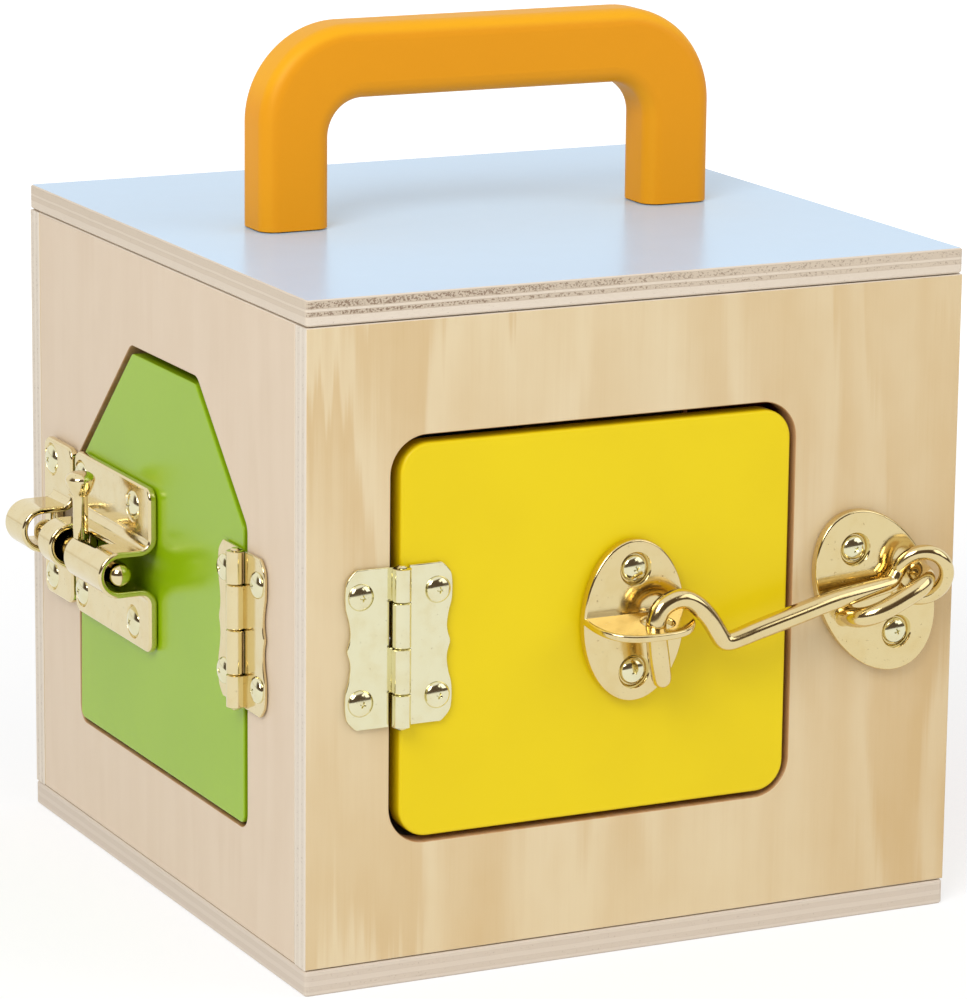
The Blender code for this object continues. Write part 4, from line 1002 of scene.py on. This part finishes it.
screwStands = {
    "box": ["yellow_frame_hinge_screw", "green_frame_hinge_screw", "staple_screw", "keeper_screw"],
    "yellow_door": ["yellow_door_hinge_screw", "catch_screw"], "green_door": ["green_door_hinge_screw"],
    "red_door": [], "blue_door": []}
for screwBody, stems in screwStands.items():  # most screws come in pairs
    screwStands[screwBody] = [f"{stem}_{end}" for stem in stems for end in ("upper", "lower")]
screwStands["box"] += ["red_button_screw", "blue_button_screw"]
screwStands["green_door"] += [f"bolt_screw_{end}_{way}" for end in ("upper", "lower")
                              for way in ("inner", "outer")]
for screwBody, places in screwPlaces.items():
    heads = setOut(screwBody.replace("_", "") + "Screws", places, screwShape, pi, 7)
    settle(heads, screwBody, "paleBrass", *screwStands[screwBody])
print("screws set out:", sum(len(places) for places in screwPlaces.values()))
for shape in (screwShape, knuckle):
    bpy.data.objects.remove(shape, do_unlink=True)


# the box's floor, its lid and the handle's screws keep their own solids

ownSolids = {"top_panel": "topPanel", "bottom_panel": "bottomPanel", "handle_screw_left": "brass",
             "handle_screw_right": "brass"}
for nodeName, finish in ownSolids.items():
    nodes[nodeName].material_slots[0].material = finishes[finish]
print("panels covered")


# stage, light and camera

stage = {"floor": 3.0, "worldLight": 0.62, "mirrored": 0.97}
lamps = {"key": (16.5, 0.9, (-1.15, -1.0, 1.25)), "fill": (4.6, 1.0, (1.2, -0.9, 0.9))}  # watts, size, place
lampAim = (0, 0, 0.08)


def makeStage():
    recipe = Recipe("floorWhite")
    seen, mirrored = recipe.ray("Camera"), recipe.ray("Glossy")
    distance = recipe.add("ShaderNodeVectorMath", {"operation": "LENGTH"}, {0: recipe.object()}, 1)
    floorShade = recipe.add("ShaderNodeBsdfDiffuse", None, {"Color": (0.9, 0.9, 0.9, 1)})
    strength = seen * recipe.ease(distance, 0.22, 0.9, 0.22, 0.8)  # stronger away from the box's shadow
    glow = recipe.add("ShaderNodeEmission", None, {"Color": (1, 1, 1, 1), "Strength": strength})
    both = recipe.add("ShaderNodeAddShader", None, {0: floorShade, 1: glow})
    white = recipe.add("ShaderNodeEmission", None, {"Color": (1, 1, 1, 1), "Strength": stage["mirrored"]})
    whole = recipe.add("ShaderNodeMixShader", None, {0: mirrored * 0.7 + seen * 0.5, 1: both, 2: white})
    recipe.add("ShaderNodeOutputMaterial", None, {"Surface": whole})
    half = stage["floor"]
    corners = [(x, y, 0) for x, y in rectangle(-half, -half, 2 * half, 2 * half)]
    floor = fromFaces("floor", corners, [(0, 1, 2, 3)])
    floor.data.materials.append(recipe.owner)

    sky = Recipe("studio", True)
    camera, glossy = sky.ray("Camera"), sky.ray("Glossy")
    aside, ahead, height = sky.spread(sky.object("Generated"))
    level = height * 0.5 + 0.5  # 0 straight down, 1 straight up
    white, dim = (0.94, 0.93, 0.92, 1), (0.1, 0.07, 0.05, 1)
    front = sky.add("ShaderNodeValToRGB", {"stops": [
        (0.496, white), (0.503, dim), (0.78, dim), (0.85, (0.17, 0.12, 0.08, 1)), (0.9, white)]}, {0: level})
    behind = sky.add("ShaderNodeValToRGB", {"stops": [
        (0.495, white), (0.505, (0.72, 0.66, 0.58, 1)), (0.54, white)]}, {0: level})
    lane = abs(aside * 0.866 + ahead * 0.5)  # a soft lamp to the right of the camera
    softbox = sky.ease(lane, 0.1, 0.06) * (aside * 0.5 - ahead * 0.866 > 0.3)
    softbox = softbox * sky.ease(abs(height - 0.48), 0.13, 0.09)
    leftward = sky.add("ShaderNodeMath", {"operation": "MINIMUM"}, {0: aside, 1: 0.0})
    lit = sky.blend(softbox, front, (1.7, 1.65, 1.5, 1))
    room = sky.blend(sky.ease(ahead + leftward * 0.5, -0.25, 0.15), lit, behind)
    plain = sky.blend(glossy, (stage["worldLight"],) * 3 + (1,), room)
    colour = sky.blend(camera, plain, (1, 1, 1, 1))
    back = sky.add("ShaderNodeBackground", None, {"Color": colour, "Strength": 1.0})
    sky.add("ShaderNodeOutputWorld", None, {"Surface": back})
    bpy.context.scene.world = sky.owner

    for name, (power, size, at) in lamps.items():
        lamp = bpy.data.lights.new(name, "AREA")
        lamp.energy = power
        lamp.size = size
        holder = link(name, lamp)
        holder.location = at
        holder.rotation_euler = (Vector(lampAim) - Vector(at)).to_track_quat("-Z", "Y").to_euler()


view = {"azimuth": radians(-26.3155), "elevation": radians(13.1598), "roll": radians(0.6028),
        "lens": 174.636, "at": (-0.516115, -1.046068, 0.363505)}


def makeCamera():
    lens = bpy.data.cameras.new("camera")
    lens.lens = view["lens"]
    lens.sensor_width = 36
    camera = link("camera", lens)
    heading = turned(quarter - view["elevation"], 0, view["azimuth"])
    camera.matrix_world = shifted(*view["at"]) @ heading @ turned(0, 0, view["roll"])
    bpy.context.scene.camera = camera


makeStage()
makeCamera()
bpy.context.scene.view_settings.view_transform = "Standard"
print("stage, light and camera set")

bpy.context.view_layer.update()
